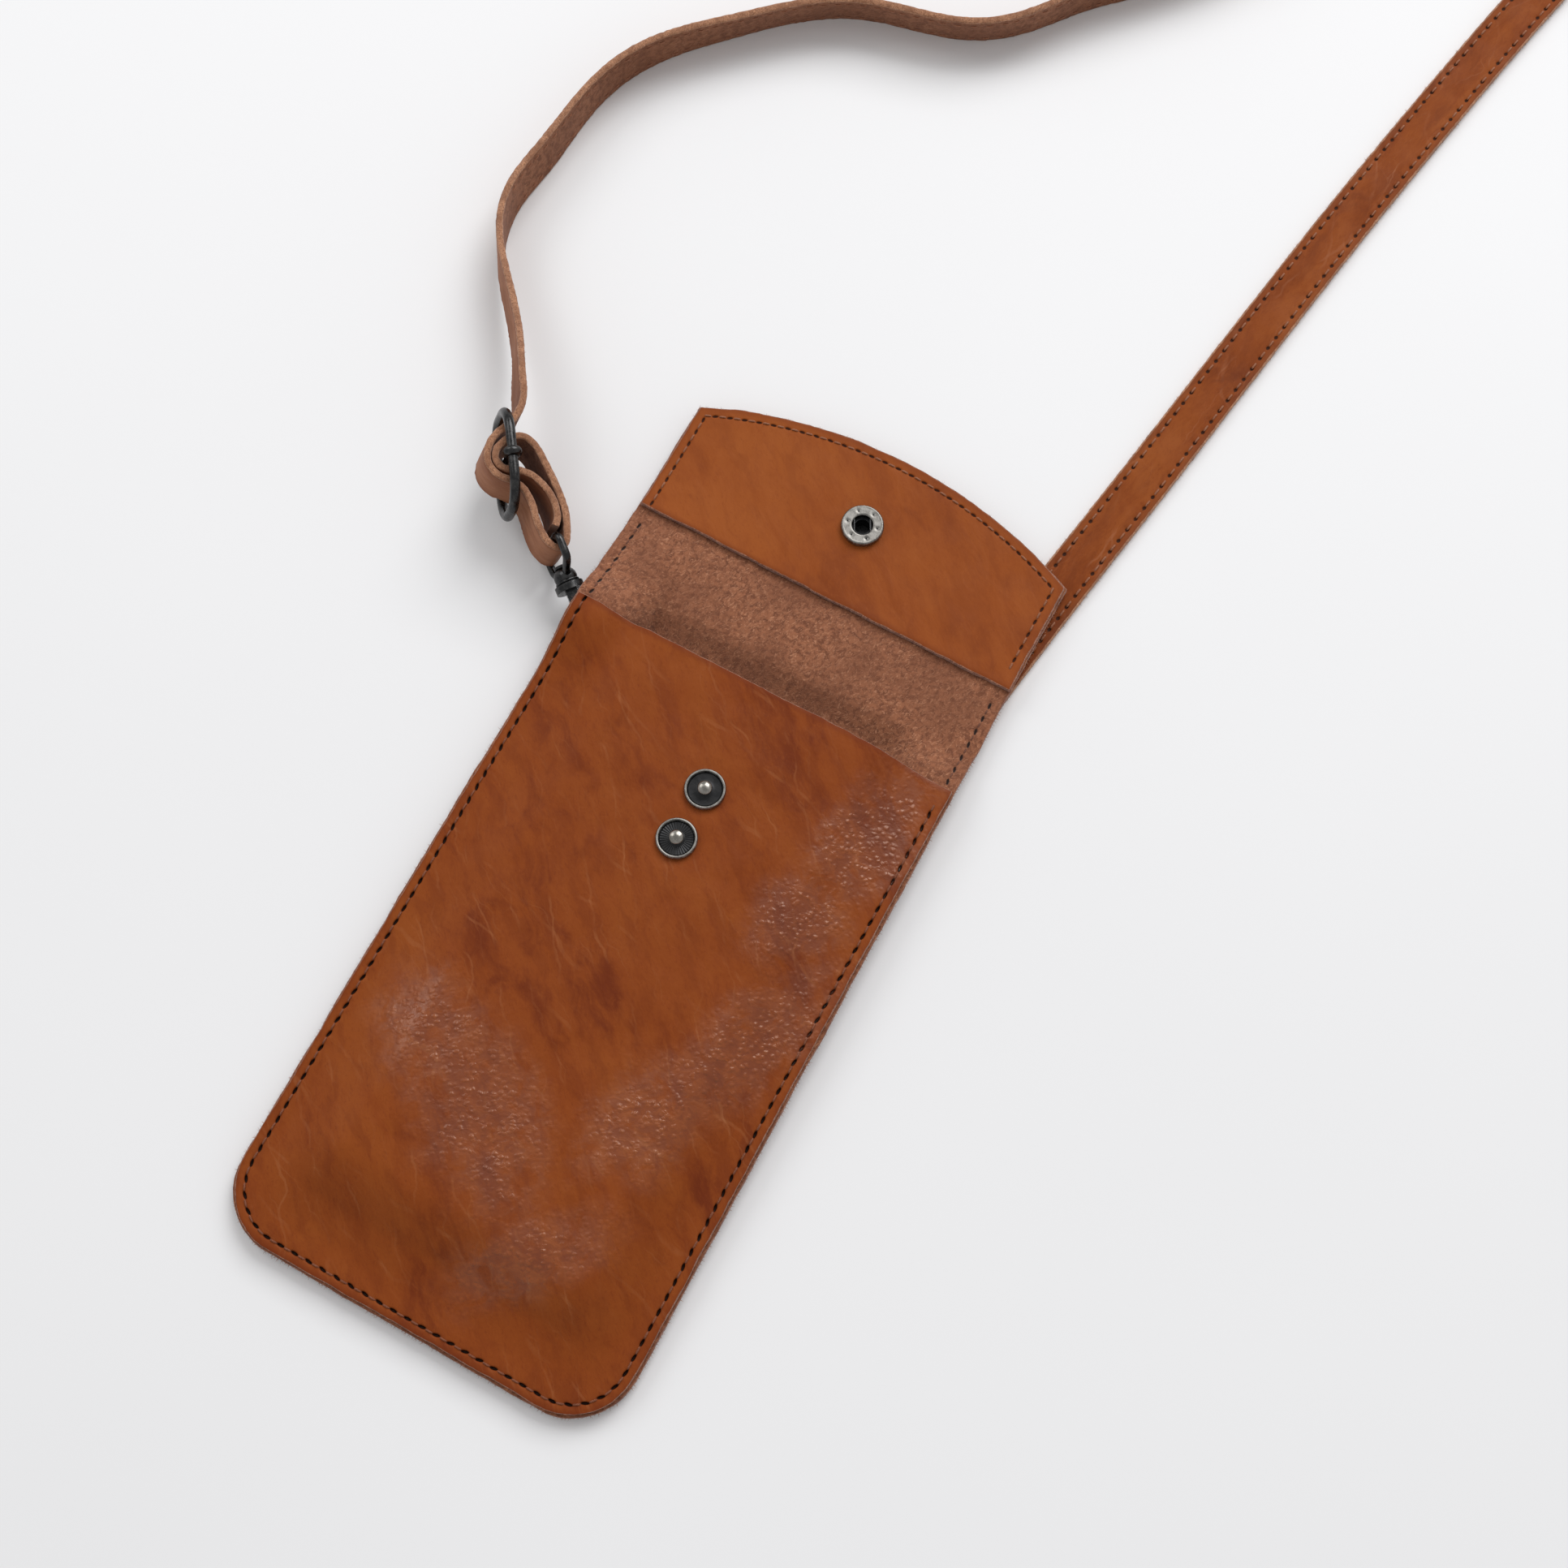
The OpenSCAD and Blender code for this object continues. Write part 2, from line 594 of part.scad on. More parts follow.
module hook_body() {
    gap = running_gap * 3;
    color([0.22, 0.22, 0.23]) on_hook() {
        difference() {
            plate(claw_t) claw_outline();
            translate([gate_tip_x - gap, -claw_t, -claw_r - cut])
                cube([gate_x - gate_hub_r - gap - gate_tip_x + gap * 2, 2 * claw_t,
                      claw_arm + cut + gap]);
            translate([gate_tip_x, -slot_half, -claw_r - cut])
                cube([gate_x + gate_hub_r + gap - gate_tip_x, 2 * slot_half,
                      claw_r + cut + gate_z + gate_hub_r + gap]);
            translate([gate_x, 0, gate_z]) rotate([90, 0, 0])
                cylinder(h = 2 * claw_t, d = pin_d + running_gap, center = true);
        }
        rotate([0, 90, 0]) {
            translate([0, 0, collar_back]) cylinder(h = collar_len, d = collar_d);
            cylinder(h = head_start, d = stem_d);
            translate([0, 0, head_start]) cylinder(h = head_len, r = head_r);
        }
    }
}

module gate_pin() {
    color([0.5, 0.5, 0.5]) on_hook() translate([gate_x, 0, gate_z]) rotate([90, 0, 0])
        cylinder(h = claw_t, d = pin_d - running_gap, center = true);
}

// One turn of spring wire round the pin, between the cheeks of the gate
module gate_spring() {
    wire_r = gate_hub_half * 0.2;
    color([0.55, 0.55, 0.55]) on_hook() translate([gate_x, 0, gate_z]) rotate([90, 0, 0])
        rotate_extrude() translate([pin_d / 2 + running_gap + wire_r, 0]) circle(r = wire_r);
}

// Gate: lever with a hub on the pin, a tip that meets the claw and a thumb lug
module hook_gate() {
    low = -claw_r - gate_z;
    high = -claw_r + claw_arm - gate_z;
    reach = gate_tip_x - gate_x;
    lug_r = claw_arm * 0.6;
    lug_x = reach * 0.58;
    root = -gate_hub_r - running_gap * 6;
    color([0.28, 0.28, 0.29]) on_hook() translate([gate_x, 0, gate_z]) difference() {
        union() {
            plate(2 * gate_hub_half) {
                circle(r = gate_hub_r);
                polygon([[0, gate_hub_r], [reach / 2, high], [reach / 2, low],
                         [0, -gate_hub_r]]);
            }
            plate(claw_t) {
                polygon([[root, high], [reach, high], [reach + claw_arm * 0.25, low],
                         [root, low]]);
                translate([lug_x, low]) circle(r = lug_r);
            }
        }
        rotate([90, 0, 0]) cylinder(h = 2 * claw_t, d = pin_d + 2 * running_gap, center = true);
        rotate([90, 0, 0]) cylinder(h = gate_hub_half, r = gate_hub_r + running_gap,
                                    center = true);
    }
}

// Eye of the swivel: barrel with a bore, and a wire frame that holds the strap
module swivel_eye() {
    r = eye_wire_d / 2;
    start = collar_front + running_gap * 4;
    side = strap_w / 2 + r + running_gap * 3;
    foot = [start + barrel_len * 0.55, barrel_d * 0.38];
    knee = [start + barrel_len * 1.08, side];
    far = [eye_reach, side];
    color([0.24, 0.24, 0.25]) on_eye() difference() {
        union() {
            translate([start, 0, 0]) rotate([0, 90, 0]) rotate_extrude()
                polygon([[0, 0], [barrel_d / 2, 0], [barrel_d / 2, barrel_len * 0.62],
                         [barrel_d * 0.36, barrel_len], [0, barrel_len]]);
            for (m = [0, 1]) mirror([0, 0, m]) {
                rod(foot, knee, r);
                rod(knee, far, r);
            }
            translate([eye_reach, 0, 0]) cylinder(h = 2 * side, r = r, center = true);
        }
        translate([start - cut, 0, 0]) rotate([0, 90, 0])
            cylinder(h = barrel_len + cut + head_len, d = stem_d + 2 * running_gap);
    }
}

module adjuster_loop() {
    color([0.56, 0.34, 0.22]) on_eye() linear_extrude(height = strap_w, center = true)
        band(smooth(adjuster_route, 3), strap_t);
}

// Slide buckle: round-cornered wire frame that stands up, and its middle bar
module on_slide() {
    on_eye() translate([slide_at[0], slide_at[1], 0]) rotate([0, 0, slide_turn])
        rotate([90, 0, 0]) children();
}

module slide_frame() {
    x = slide_reach;
    y = slide_side;
    color([0.24, 0.24, 0.25]) on_slide()
        wire_loop([[-x, -y], [x, -y], [x, y], [-x, y]], slide_wire_d / 2,
                  slide_corner_r - slide_wire_d / 2);
}

module slide_bar() {
    wrap_r = slide_wire_d * 0.8;
    wrap_len = slide_wire_d * 1.1;
    color([0.3, 0.3, 0.31]) on_slide() difference() {
        union() {
            rotate([90, 0, 0]) cylinder(h = 2 * slide_side, d = slide_bar_d, center = true);
            for (s = [-1, 1]) translate([0, s * slide_side, 0]) rotate([0, 90, 0])
                cylinder(h = wrap_len, r = wrap_r, center = true);
        }
        for (s = [-1, 1]) translate([0, s * slide_side, 0]) rotate([0, 90, 0])
            cylinder(h = wrap_len + 2 * cut, d = slide_wire_d + 2 * running_gap,
                     center = true);
    }
}

module strap() {
    color([0.6, 0.3, 0.14]) swept_strap(smooth(strap_route, 2));
}

// A stitch: a short flat bar of thread that lies on the leather
thread_flat = thread_d * 0.35;
thread_gap = running_gap * 1.4;
module stitch(turn, slope) {
    rotate([0, 0, turn]) rotate([0, -slope, 0])
        translate([-stitch_len / 2, -thread_d / 2, 0])
            cube([stitch_len, thread_d, thread_flat]);
}

// Path of the seam round the pocket, as [x, y, direction], and the height of
// the seam band of the front panel beside the path
corner_path = corner_r - seam_inset;
side_count = floor((pocket_len - corner_r) / stitch_pitch);
end_count = floor((pouch_w - 2 * corner_r) / stitch_pitch);
arc_count = round(PI * corner_path / 2 / stitch_pitch);
band_tables = [for (s = [-1, 1]) [for (y = pocket_ys) [y, front_z(s * half, y) + leather]]];
function band_z(x, y) = lookup(y, band_tables[x < 0 ? 0 : 1]);

module seam_stitch(x, y, turn) {
    reach = stitch_len / 2 * sin(turn);
    low = band_z(x, y - reach);
    high = band_z(x, y + reach);
    bump = max(band_z(x, y) - (low + high) / 2, 0);
    translate([x, py(y), (low + high) / 2 + bump + thread_gap])
        stitch(turn, atan2(high - low, stitch_len));
}

module pocket_thread() {
    color([0.44, 0.17, 0.1]) {
        for (s = [-1, 1], k = [0:side_count - 1])
            seam_stitch(s * (half - seam_inset), corner_r + (k + 0.5) * stitch_pitch, 90);
        for (s = [-1, 1], k = [0:arc_count - 1]) {
            t = quarter_turn * (k + 0.5) / arc_count;
            seam_stitch(s * (half - corner_r + corner_path * cos(t)),
                        corner_r - corner_path * sin(t), quarter_turn - s * t);
        }
        for (k = [0:end_count - 1])
            seam_stitch((k - (end_count - 1) / 2) * stitch_pitch, seam_inset, 0);
    }
}

// Stitches of the lining: up both sides and along the curved end
module lining_thread() {
    r = flap_r - seam_inset;
    x = half - seam_inset;
    top_y = total_len - flap_r + sqrt(r * r - x * x);
    run = top_y - lining_start - stitch_pitch / 2;
    sides = floor(run / stitch_pitch);
    sweep = asin(x / r);
    ends = floor(2 * sweep * PI / 180 * r / stitch_pitch);
    color([0.74, 0.5, 0.4]) translate([0, 0, lining_top + thread_gap]) {
        for (s = [-1, 1], k = [0:sides - 1])
            translate([s * x, py(lining_start + (k + 0.8) * stitch_pitch), 0]) stitch(90, 0);
        for (k = [0:ends - 1]) {
            t = sweep * (2 * (k + 0.5) / ends - 1);
            translate([r * sin(t), py(total_len - flap_r + r * cos(t)), 0]) stitch(-t, 0);
        }
    }
}

// Stitches that hold the flat end of the strap to the back panel
module strap_thread() {
    x = strap_route[len(strap_route) - 1][0];
    y = strap_route[len(strap_route) - 1][1];
    low = strap_route[len(strap_route) - 1][2] - strap_t / 2 - thread_flat - running_gap / 2;
    side = strap_w / 2 - thread_d * 2.6;
    across = floor(2 * side / stitch_pitch);
    color([0.44, 0.17, 0.1]) {
        for (s = [-1, 1], k = [0:3])
            translate([x + s * side, py(y + (k + 1) * stitch_pitch), low]) stitch(90, 0);
        for (row = [0.5, 4.5], k = [0:across - 1])
            translate([x + (k - (across - 1) / 2) * stitch_pitch, py(y + row * stitch_pitch), low])
                stitch(0, 0);
    }
}

// Stitches across the tail of the tab
module tab_thread() {
    x = ring_bar[0];
    y = ring_bar[1] - tab_len;
    low = tab_z - thread_flat - running_gap / 2;
    side = tab_w / 2 - thread_d * 2;
    color([0.44, 0.17, 0.1]) {
        for (s = [-1, 1], k = [0:2])
            translate([x + s * side, py(y + (k + 0.8) * stitch_pitch), low]) stitch(90, 0);
    }
}

back_panel();
front_panel();
ring_tab();
upper_stud();
upper_stud_eyelet();
lower_stud();
lower_stud_eyelet();
flap_panel();
flap_lining();
snap_cap();
snap_socket();
snap_spring();
d_ring();
hook_body();
gate_pin();
gate_spring();
hook_gate();
swivel_eye();
adjuster_loop();
slide_frame();
slide_bar();
strap();
pocket_thread();
lining_thread();
strap_thread();
tab_thread();
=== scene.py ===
"""Finish of a leather phone pouch: panels, seams, press snap, hook, slide buckle and strap.

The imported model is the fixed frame. Sizes are in millimetres, heights along the pouch are
counted from its bottom edge as in the part's source, and both become metres of the row
frame when a mesh is placed.
"""

import logging
import math
from contextlib import contextmanager
from dataclasses import dataclass
from enum import Enum
from itertools import pairwise
from typing import Callable, Iterable, Iterator, Sequence

import bmesh
import bpy
import numpy as np
from mathutils import Matrix, Vector, noise

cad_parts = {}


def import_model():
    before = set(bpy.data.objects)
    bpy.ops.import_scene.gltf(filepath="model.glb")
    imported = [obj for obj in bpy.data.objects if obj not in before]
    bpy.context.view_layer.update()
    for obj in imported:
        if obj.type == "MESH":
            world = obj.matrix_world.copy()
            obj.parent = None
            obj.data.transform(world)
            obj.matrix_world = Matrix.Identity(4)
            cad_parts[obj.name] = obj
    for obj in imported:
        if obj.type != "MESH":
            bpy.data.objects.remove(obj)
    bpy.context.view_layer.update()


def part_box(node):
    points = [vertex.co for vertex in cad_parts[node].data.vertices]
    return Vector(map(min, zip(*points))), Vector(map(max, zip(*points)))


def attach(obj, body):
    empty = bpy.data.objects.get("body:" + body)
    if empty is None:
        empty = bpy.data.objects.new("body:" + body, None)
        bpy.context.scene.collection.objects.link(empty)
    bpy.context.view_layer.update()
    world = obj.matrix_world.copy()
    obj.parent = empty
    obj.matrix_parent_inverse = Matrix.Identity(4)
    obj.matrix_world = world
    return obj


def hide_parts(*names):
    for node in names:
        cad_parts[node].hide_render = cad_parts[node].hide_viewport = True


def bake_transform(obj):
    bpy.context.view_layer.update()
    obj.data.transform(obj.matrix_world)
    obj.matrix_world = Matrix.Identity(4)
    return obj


LOG = logging.getLogger("phone_pouch")
MM = 0.001
# Names of the numbers that the vertices of a piece of leather carry.
PLACE = "place"
EDGE = "edge_gap"
# How deep a vertex lies in a stitch hole; the materials darken it there as painted shade in the hole.
PIT_SHADE = "pit_shade"

Array = np.ndarray
Piece = bpy.types.Object
Material = bpy.types.Material
Colour = tuple[float, float, float]
Point2 = tuple[float, float]
Point3 = tuple[float, float, float]
Input = object
Height = Callable[[Array, Array], Array]


class Face(Enum):
    """Sides of a piece of leather, as material slots of its mesh."""

    GRAIN = 0
    FLESH = 1
    CUT = 2


class Axis(Enum):
    """Ways in which noise is stretched over a piece."""

    EVEN = (1.0, 1.0, 1.0)
    ALONG = (1.0, 0.4, 1.0)


@dataclass(frozen=True)
class PouchForm:
    """Outline and heights of the pouch in millimetres, as its solids have them."""

    width: float = 114.0
    pocket: float = 186.0
    neck: float = 12.0
    flap_side: float = 54.5
    flap_bow: float = 12.5
    corner_r: float = 18.0
    leather: float = 1.7
    lining: float = 1.4
    lining_gap: float = 20.8
    lining_inset: float = 0.4
    glue_gap: float = 0.1
    seam_band: float = 7.0
    seam_inset: float = 3.2
    crown_z: float = 11.6
    crown_in: float = 18.0
    crown_start: float = 33.0
    crown_ease: float = 6.0
    rest_left_in: float = 21.0
    rest_right_in: float = 21.5
    seam_low: float = 1.5
    seam_high: float = 5.0
    seam_rise_share: float = 0.75
    swell_share: float = 2.2
    lift: float = 6.2
    lift_below: float = 13.0
    lift_above: float = 24.0
    lift_share: float = 3 / 13
    flap_z: float = 3.0
    socket_in: float = 23.3
    stud_pitch: float = 15.0
    rim_h: float = 1.1
    socket_h: float = 1.9

    @property
    def half(self) -> float:
        """Half the width."""
        return self.width / 2

    @property
    def fold(self) -> float:
        """Height of the fold line."""
        return self.pocket + self.neck

    @property
    def corner(self) -> float:
        """Height of the corners of the flap."""
        return self.fold + self.flap_side

    @property
    def length(self) -> float:
        """Height of the middle of the curved flap end."""
        return self.corner + self.flap_bow

    @property
    def flap_r(self) -> float:
        """Radius of the curved flap end."""
        return (self.half**2 + self.flap_bow**2) / (2 * self.flap_bow)

    @property
    def lining_start(self) -> float:
        """Height at which the lining begins."""
        return self.fold + self.lining_gap

    @property
    def front_top(self) -> float:
        """Height of the level top of the front panel over the table."""
        return self.crown_z + self.leather

    @property
    def lining_top(self) -> float:
        """Height of the lining over the table."""
        return self.flap_z + self.leather + self.lining

    @property
    def socket_y(self) -> float:
        """Height of the socket along the open flap."""
        return self.length - self.socket_in

    @property
    def upper_stud_y(self) -> float:
        """Height of the upper stud, which meets the socket when the flap is folded."""
        return 2 * self.fold - self.socket_y

    @property
    def lower_stud_y(self) -> float:
        """Height of the lower stud."""
        return self.upper_stud_y - self.stud_pitch

    def row_y(self, y: float | Array) -> float | Array:
        """Height along the pouch as the y of the row frame, still in millimetres."""
        return y - self.length / 2

    def half_width(self, y: Array) -> Array:
        """Half width of the outline at heights y."""
        below = np.clip(self.corner_r - y, 0, self.corner_r)
        return self.half - self.corner_r + np.sqrt(self.corner_r**2 - below**2)

    def reach_up(self, x: Array, inset: float = 0.0) -> Array:
        """Height of the curved flap end at places x across the pouch."""
        r = self.flap_r - inset
        return self.length - self.flap_r + np.sqrt(r * r - np.square(x))

    def spread(self, x: Array, y: Array) -> Array:
        """Distance from the middle line, as if the corners reached the full width."""
        return np.abs(x) * self.half / self.half_width(y)

    def swell(self, x: Array, y: Array) -> Array:
        """Share of the seam height that the back panel has at a place, from 0 to 1."""
        rest = self.half - np.where(x < 0, self.rest_left_in, self.rest_right_in)
        side = np.clip((self.spread(x, y) - rest) / (self.half - self.seam_band - rest), 0, 1)
        heel = np.clip((self.corner_r - y) / (self.corner_r - self.seam_band), 0, 1)
        return 1 - ((1 - side) * (1 - heel)) ** self.swell_share

    def back(self, x: Array, y: Array) -> Array:
        """Height of the underside of the back panel and the flap over the table."""
        risen = ease(y / (self.pocket * self.seam_rise_share))
        seam = self.seam_low + (self.seam_high - self.seam_low) * risen
        swell = self.swell(x, y)
        into_flap = ease((y - self.pocket - self.leather) / (self.neck - self.leather))
        lift_at = self.pocket - self.lift_share * self.lift_below
        lift_len = np.where(y < lift_at, self.lift_below, self.lift_above)
        lift = np.where(x < 0, self.lift * np.exp(-(((y - lift_at) / lift_len) ** 2)), 0)
        return (seam * (1 - into_flap) + lift) * swell + self.flap_z * into_flap

    def front(self, x: Array, y: Array) -> Array:
        """Height of the top of the front panel over the table, before its creases."""
        low = self.back(x, y) + self.leather + self.glue_gap
        crown_half = self.half - self.crown_in - self.crown_ease
        reach = self.crown_in - self.seam_band + self.crown_ease + self.crown_ease / 3
        across = 1 - ease((self.spread(x, y) - crown_half) / reach)
        along = ease((y - self.seam_band) / (self.crown_start - self.seam_band))
        return low + (self.crown_z - low) * across * along + self.leather

    def inner(self, x: Array, y: Array) -> Array:
        """Height of the upper side of the back panel and the flap."""
        return self.back(x, y) + self.leather

    def liner(self, x: Array, y: Array) -> Array:
        """Height of the upper side of the flap's lining."""
        return self.inner(x, y) + self.lining

    def edge_gap(self, x: Array, y: Array, top: Array) -> Array:
        """Distance from the outline, where top is the height of the upper edge."""
        gap = np.minimum(np.minimum(self.half - np.abs(x), y), top - y)
        over_x = np.abs(x) - (self.half - self.corner_r)
        over_y = self.corner_r - y
        in_corner = (over_x > 0) & (over_y > 0)
        return np.where(in_corner, self.corner_r - np.hypot(over_x, over_y), gap)


@dataclass(frozen=True)
class HookFrame:
    """Place and directions of the hook, in millimetres of the row frame."""

    form: PouchForm
    out: float = 3.6
    up: float = 1.6
    height: float = 8.3
    turn: float = 142.0
    pitch: float = 10.0
    roll: float = 15.0

    @property
    def origin(self) -> Array:
        """Middle of the collar."""
        beside_mouth = self.form.row_y(self.form.pocket + self.up)
        return np.array([-self.form.half - self.out, beside_mouth, self.height])

    def axes(self) -> tuple[Array, Array, Array]:
        """Directions of the strap end: along its pull, sideways, and across."""
        turn, pitch, roll = (math.radians(angle) for angle in (self.turn, self.pitch, self.roll))
        level = math.cos(pitch)
        along = np.array([math.cos(turn) * level, math.sin(turn) * level, math.sin(pitch)])
        side = np.array([-math.sin(turn), math.cos(turn), 0.0])
        across = np.cross(along, side)
        c, s = math.cos(roll), math.sin(roll)
        return along, side * c + across * s, across * c - side * s

    def point(self, x: float, y: float, z: float = 0.0) -> Array:
        """A place given along, sideways and across the hook, in the row frame."""
        along, side, across = self.axes()
        return self.origin + x * along + y * side + z * across

    def matrix(self) -> Matrix:
        """Places a mesh whose z axis runs along the pull of the strap, in metres."""
        along, side, across = self.axes()
        return framed(Vector(self.origin * MM), across, side, along)


def ease(t: Array | float) -> Array:
    """Smooth step from 0 to 1."""
    c = np.clip(t, 0, 1)
    return c * c * (3 - 2 * c)


def framed(place: Vector, x: Sequence[float], y: Sequence[float], z: Sequence[float]) -> Matrix:
    """Frame at a place in metres, with the directions of its three axes."""
    return Matrix.Translation(place) @ Matrix([list(x), list(y), list(z)]).transposed().to_4x4()


def units(rows: Array) -> Array:
    """Rows of vectors scaled to a length of one."""
    return rows / np.linalg.norm(rows, axis=1)[:, None]


def run_along(points: Array) -> Array:
    """Distance along a path at each of its points."""
    return np.concatenate([[0], np.cumsum(np.linalg.norm(np.diff(points, axis=0), axis=1))])


def curve(points: Array, steps: int = 12) -> Array:
    """Draws a smooth curve through points, with all their columns.

    Args:
        points: the points in order, one row each.
        steps: number of steps from one point to the next.

    Returns:
        The points of the curve.
    """
    p = np.vstack([points[0], points, points[-1]])
    t = np.arange(steps)[:, None] / steps
    made = []
    for a, b, c, d in zip(p, p[1:], p[2:], p[3:]):
        bend, turn = 2 * a - 5 * b + 4 * c - d, 3 * b - a - 3 * c + d
        made.append(0.5 * (2 * b + (c - a) * t + bend * t**2 + turn * t**3))
    return np.vstack([*made, points[-1]])


def even(points: Array, step: float) -> Array:
    """Points a step apart along the first three columns, with the others carried along."""
    run = run_along(points[:, :3])
    s = np.linspace(0, run[-1], max(2, round(run[-1] / step)) + 1)
    return np.column_stack([np.interp(s, run, column) for column in points.T])


def deselect() -> None:
    """Leaves nothing selected."""
    bpy.ops.object.select_all(action="DESELECT")


def activate(piece: Piece) -> None:
    """Selects one object alone and makes it the active one."""
    deselect()
    piece.select_set(True)
    bpy.context.view_layer.objects.active = piece


def newly_made(name: str) -> Piece:
    """The object that an operator has just added, with its name."""
    piece = bpy.context.active_object
    piece.name = name
    return piece


@contextmanager
def editing(piece: Piece, elements: str) -> Iterator[None]:
    """Opens the mesh of a piece to select VERT, EDGE or FACE, and closes it again."""
    activate(piece)
    bpy.ops.object.mode_set(mode="EDIT")
    bpy.ops.mesh.select_mode(type=elements)
    yield
    bpy.ops.object.mode_set(mode="OBJECT")


def read(items: bpy.types.bpy_prop_collection, name: str, width: int = 1, kind: type = np.float32) -> Array:
    """Reads one property of all vertices, edges, faces or corners of a mesh."""
    values = np.empty(len(items) * width, kind)
    items.foreach_get(name, values)
    return values.reshape(-1, width) if width > 1 else values


def points_of(piece: Piece) -> Array:
    """Places of the vertices of a mesh, one row each."""
    return read(piece.data.vertices, "co", 3, np.float64)


def set_points(piece: Piece, co: Array) -> None:
    """Moves the vertices of a mesh."""
    piece.data.vertices.foreach_set("co", co.astype(np.float32).ravel())
    piece.data.update()


def set_values(piece: Piece, name: str, values: Array) -> None:
    """Stores a number or a vector for each vertex as a named attribute."""
    vector = values.ndim == 2
    kind = "FLOAT_VECTOR" if vector else "FLOAT"
    layer = piece.data.attributes.get(name) or piece.data.attributes.new(name, kind, "POINT")
    layer.data.foreach_set("vector" if vector else "value", values.astype(np.float32).ravel())


def values_of(piece: Piece, name: str, width: int = 1) -> Array:
    """Reads a named attribute of the vertices."""
    return read(piece.data.attributes[name].data, "vector" if width == 3 else "value", width).astype(float)


def set_slots(piece: Piece, slots: Array) -> None:
    """Sets the material slot of each face."""
    piece.data.polygons.foreach_set("material_index", slots.astype(np.int32))


def dress(piece: Piece, *materials: Material | None) -> None:
    """Gives a piece its materials, slot by slot."""
    slots = piece.data.materials
    while len(slots) < len(materials):
        slots.append(None)
    for place, material in enumerate(materials):
        slots[place] = material


def hand_over(piece: Piece, slot: str, *nodes: str, body: str = "") -> None:
    """Hides the nodes that a finished piece stands for and hangs it on its body.

    Args:
        piece: the piece.
        slot: name of its finish; not used.
        nodes: the nodes that it stands for, if any.
        body: the body that it rides on; left empty, the piece is hung on none.
    """
    if nodes:
        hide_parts(*nodes)
    if body:
        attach(piece, body)


def modify(piece: Piece, kind: str, **settings: object) -> None:
    """Adds a modifier with its settings and applies it."""
    activate(piece)
    modifier = piece.modifiers.new(kind.title(), kind)
    for name, value in settings.items():
        setattr(modifier, name, value)
    bpy.ops.object.modifier_apply(modifier=modifier.name)


def smooth(piece: Piece, degrees: float = 40.0) -> None:
    """Shades a piece smooth but for its sharp edges."""
    activate(piece)
    bpy.ops.object.shade_smooth_by_angle(angle=math.radians(degrees))


def finish_leather(piece: Piece, grain: Material, flesh: Material, cut: Material) -> None:
    """Dresses the three sides of a piece of leather and shades it smooth."""
    dress(piece, grain, flesh, cut)
    smooth(piece, 50)


def select_faces(piece: Piece, chosen: Array) -> None:
    """Selects some faces of a mesh, and nothing else of it."""
    mesh = piece.data
    mesh.vertices.foreach_set("select", np.zeros(len(mesh.vertices), bool))
    mesh.edges.foreach_set("select", np.zeros(len(mesh.edges), bool))
    mesh.polygons.foreach_set("select", chosen)


def face_data(piece: Piece) -> tuple[Array, Array]:
    """Middles and material slots of the faces of a mesh."""
    faces = piece.data.polygons
    return read(faces, "center", 3).astype(float), read(faces, "material_index", kind=np.int32)


def slot_vertices(piece: Piece, face: Face) -> Array:
    """Finds the vertices that only faces of one side of the leather use.

    Args:
        piece: the piece of leather.
        face: the side.

    Returns:
        True for each vertex of that side alone.
    """
    mesh = piece.data
    loops = read(mesh.loops, "vertex_index", kind=np.int32)
    slots = np.repeat(face_data(piece)[1], read(mesh.polygons, "loop_total", kind=np.int32))
    marked = np.zeros(len(mesh.vertices), bool)
    marked[loops[slots == face.value]] = True
    marked[loops[slots != face.value]] = False
    return marked


def refine(piece: Piece, face: Face, spots: Array, reach: float, cuts: int) -> None:
    """Subdivides the faces of one side near some places of the flat piece.

    Args:
        piece: a piece of leather with its flat places stored.
        face: the side to subdivide.
        spots: flat places in metres, one row each.
        reach: distance from a spot within which a face is subdivided, in metres.
        cuts: number of cuts of each edge.
    """
    place = values_of(piece, PLACE, 3)[:, :2]
    faces = piece.data.polygons
    _, slots = face_data(piece)
    chosen = np.zeros(len(faces), bool)
    index = np.flatnonzero(slots == face.value)
    middles = np.array([place[list(faces[i].vertices)].mean(0) for i in index])
    at_once = 4000
    for part in range(0, len(index), at_once):
        block = middles[part : part + at_once]
        gap = np.linalg.norm(block[:, None, :] - spots[None, :, :2], axis=2).min(1)
        chosen[index[part : part + at_once]] = gap < reach
    select_faces(piece, chosen)
    with editing(piece, "FACE"):
        bpy.ops.mesh.subdivide(number_cuts=cuts)


def nearest_gap(place: Array, spots: Array, across: float, along: float) -> Array:
    """Distance of each flat place from the nearest slot, in half sizes of the slot.

    Args:
        place: flat places, one row each.
        spots: slots as x, y and direction in radians, one row each.
        across: half width of a slot.
        along: half length of a slot.

    Returns:
        The scaled distance of each place.
    """
    best = np.full(len(place), 1e9)
    for x, y, turn in spots:
        away = np.abs(place[:, 0] - x) + np.abs(place[:, 1] - y)
        near = np.flatnonzero(away < 4 * along + 4 * across)
        d = place[near, :2] - (x, y)
        c, s = math.cos(turn), math.sin(turn)
        gap = np.hypot((d @ (c, s)) / along, (d @ (-s, c)) / across)
        best[near] = np.minimum(best[near], gap)
    return best


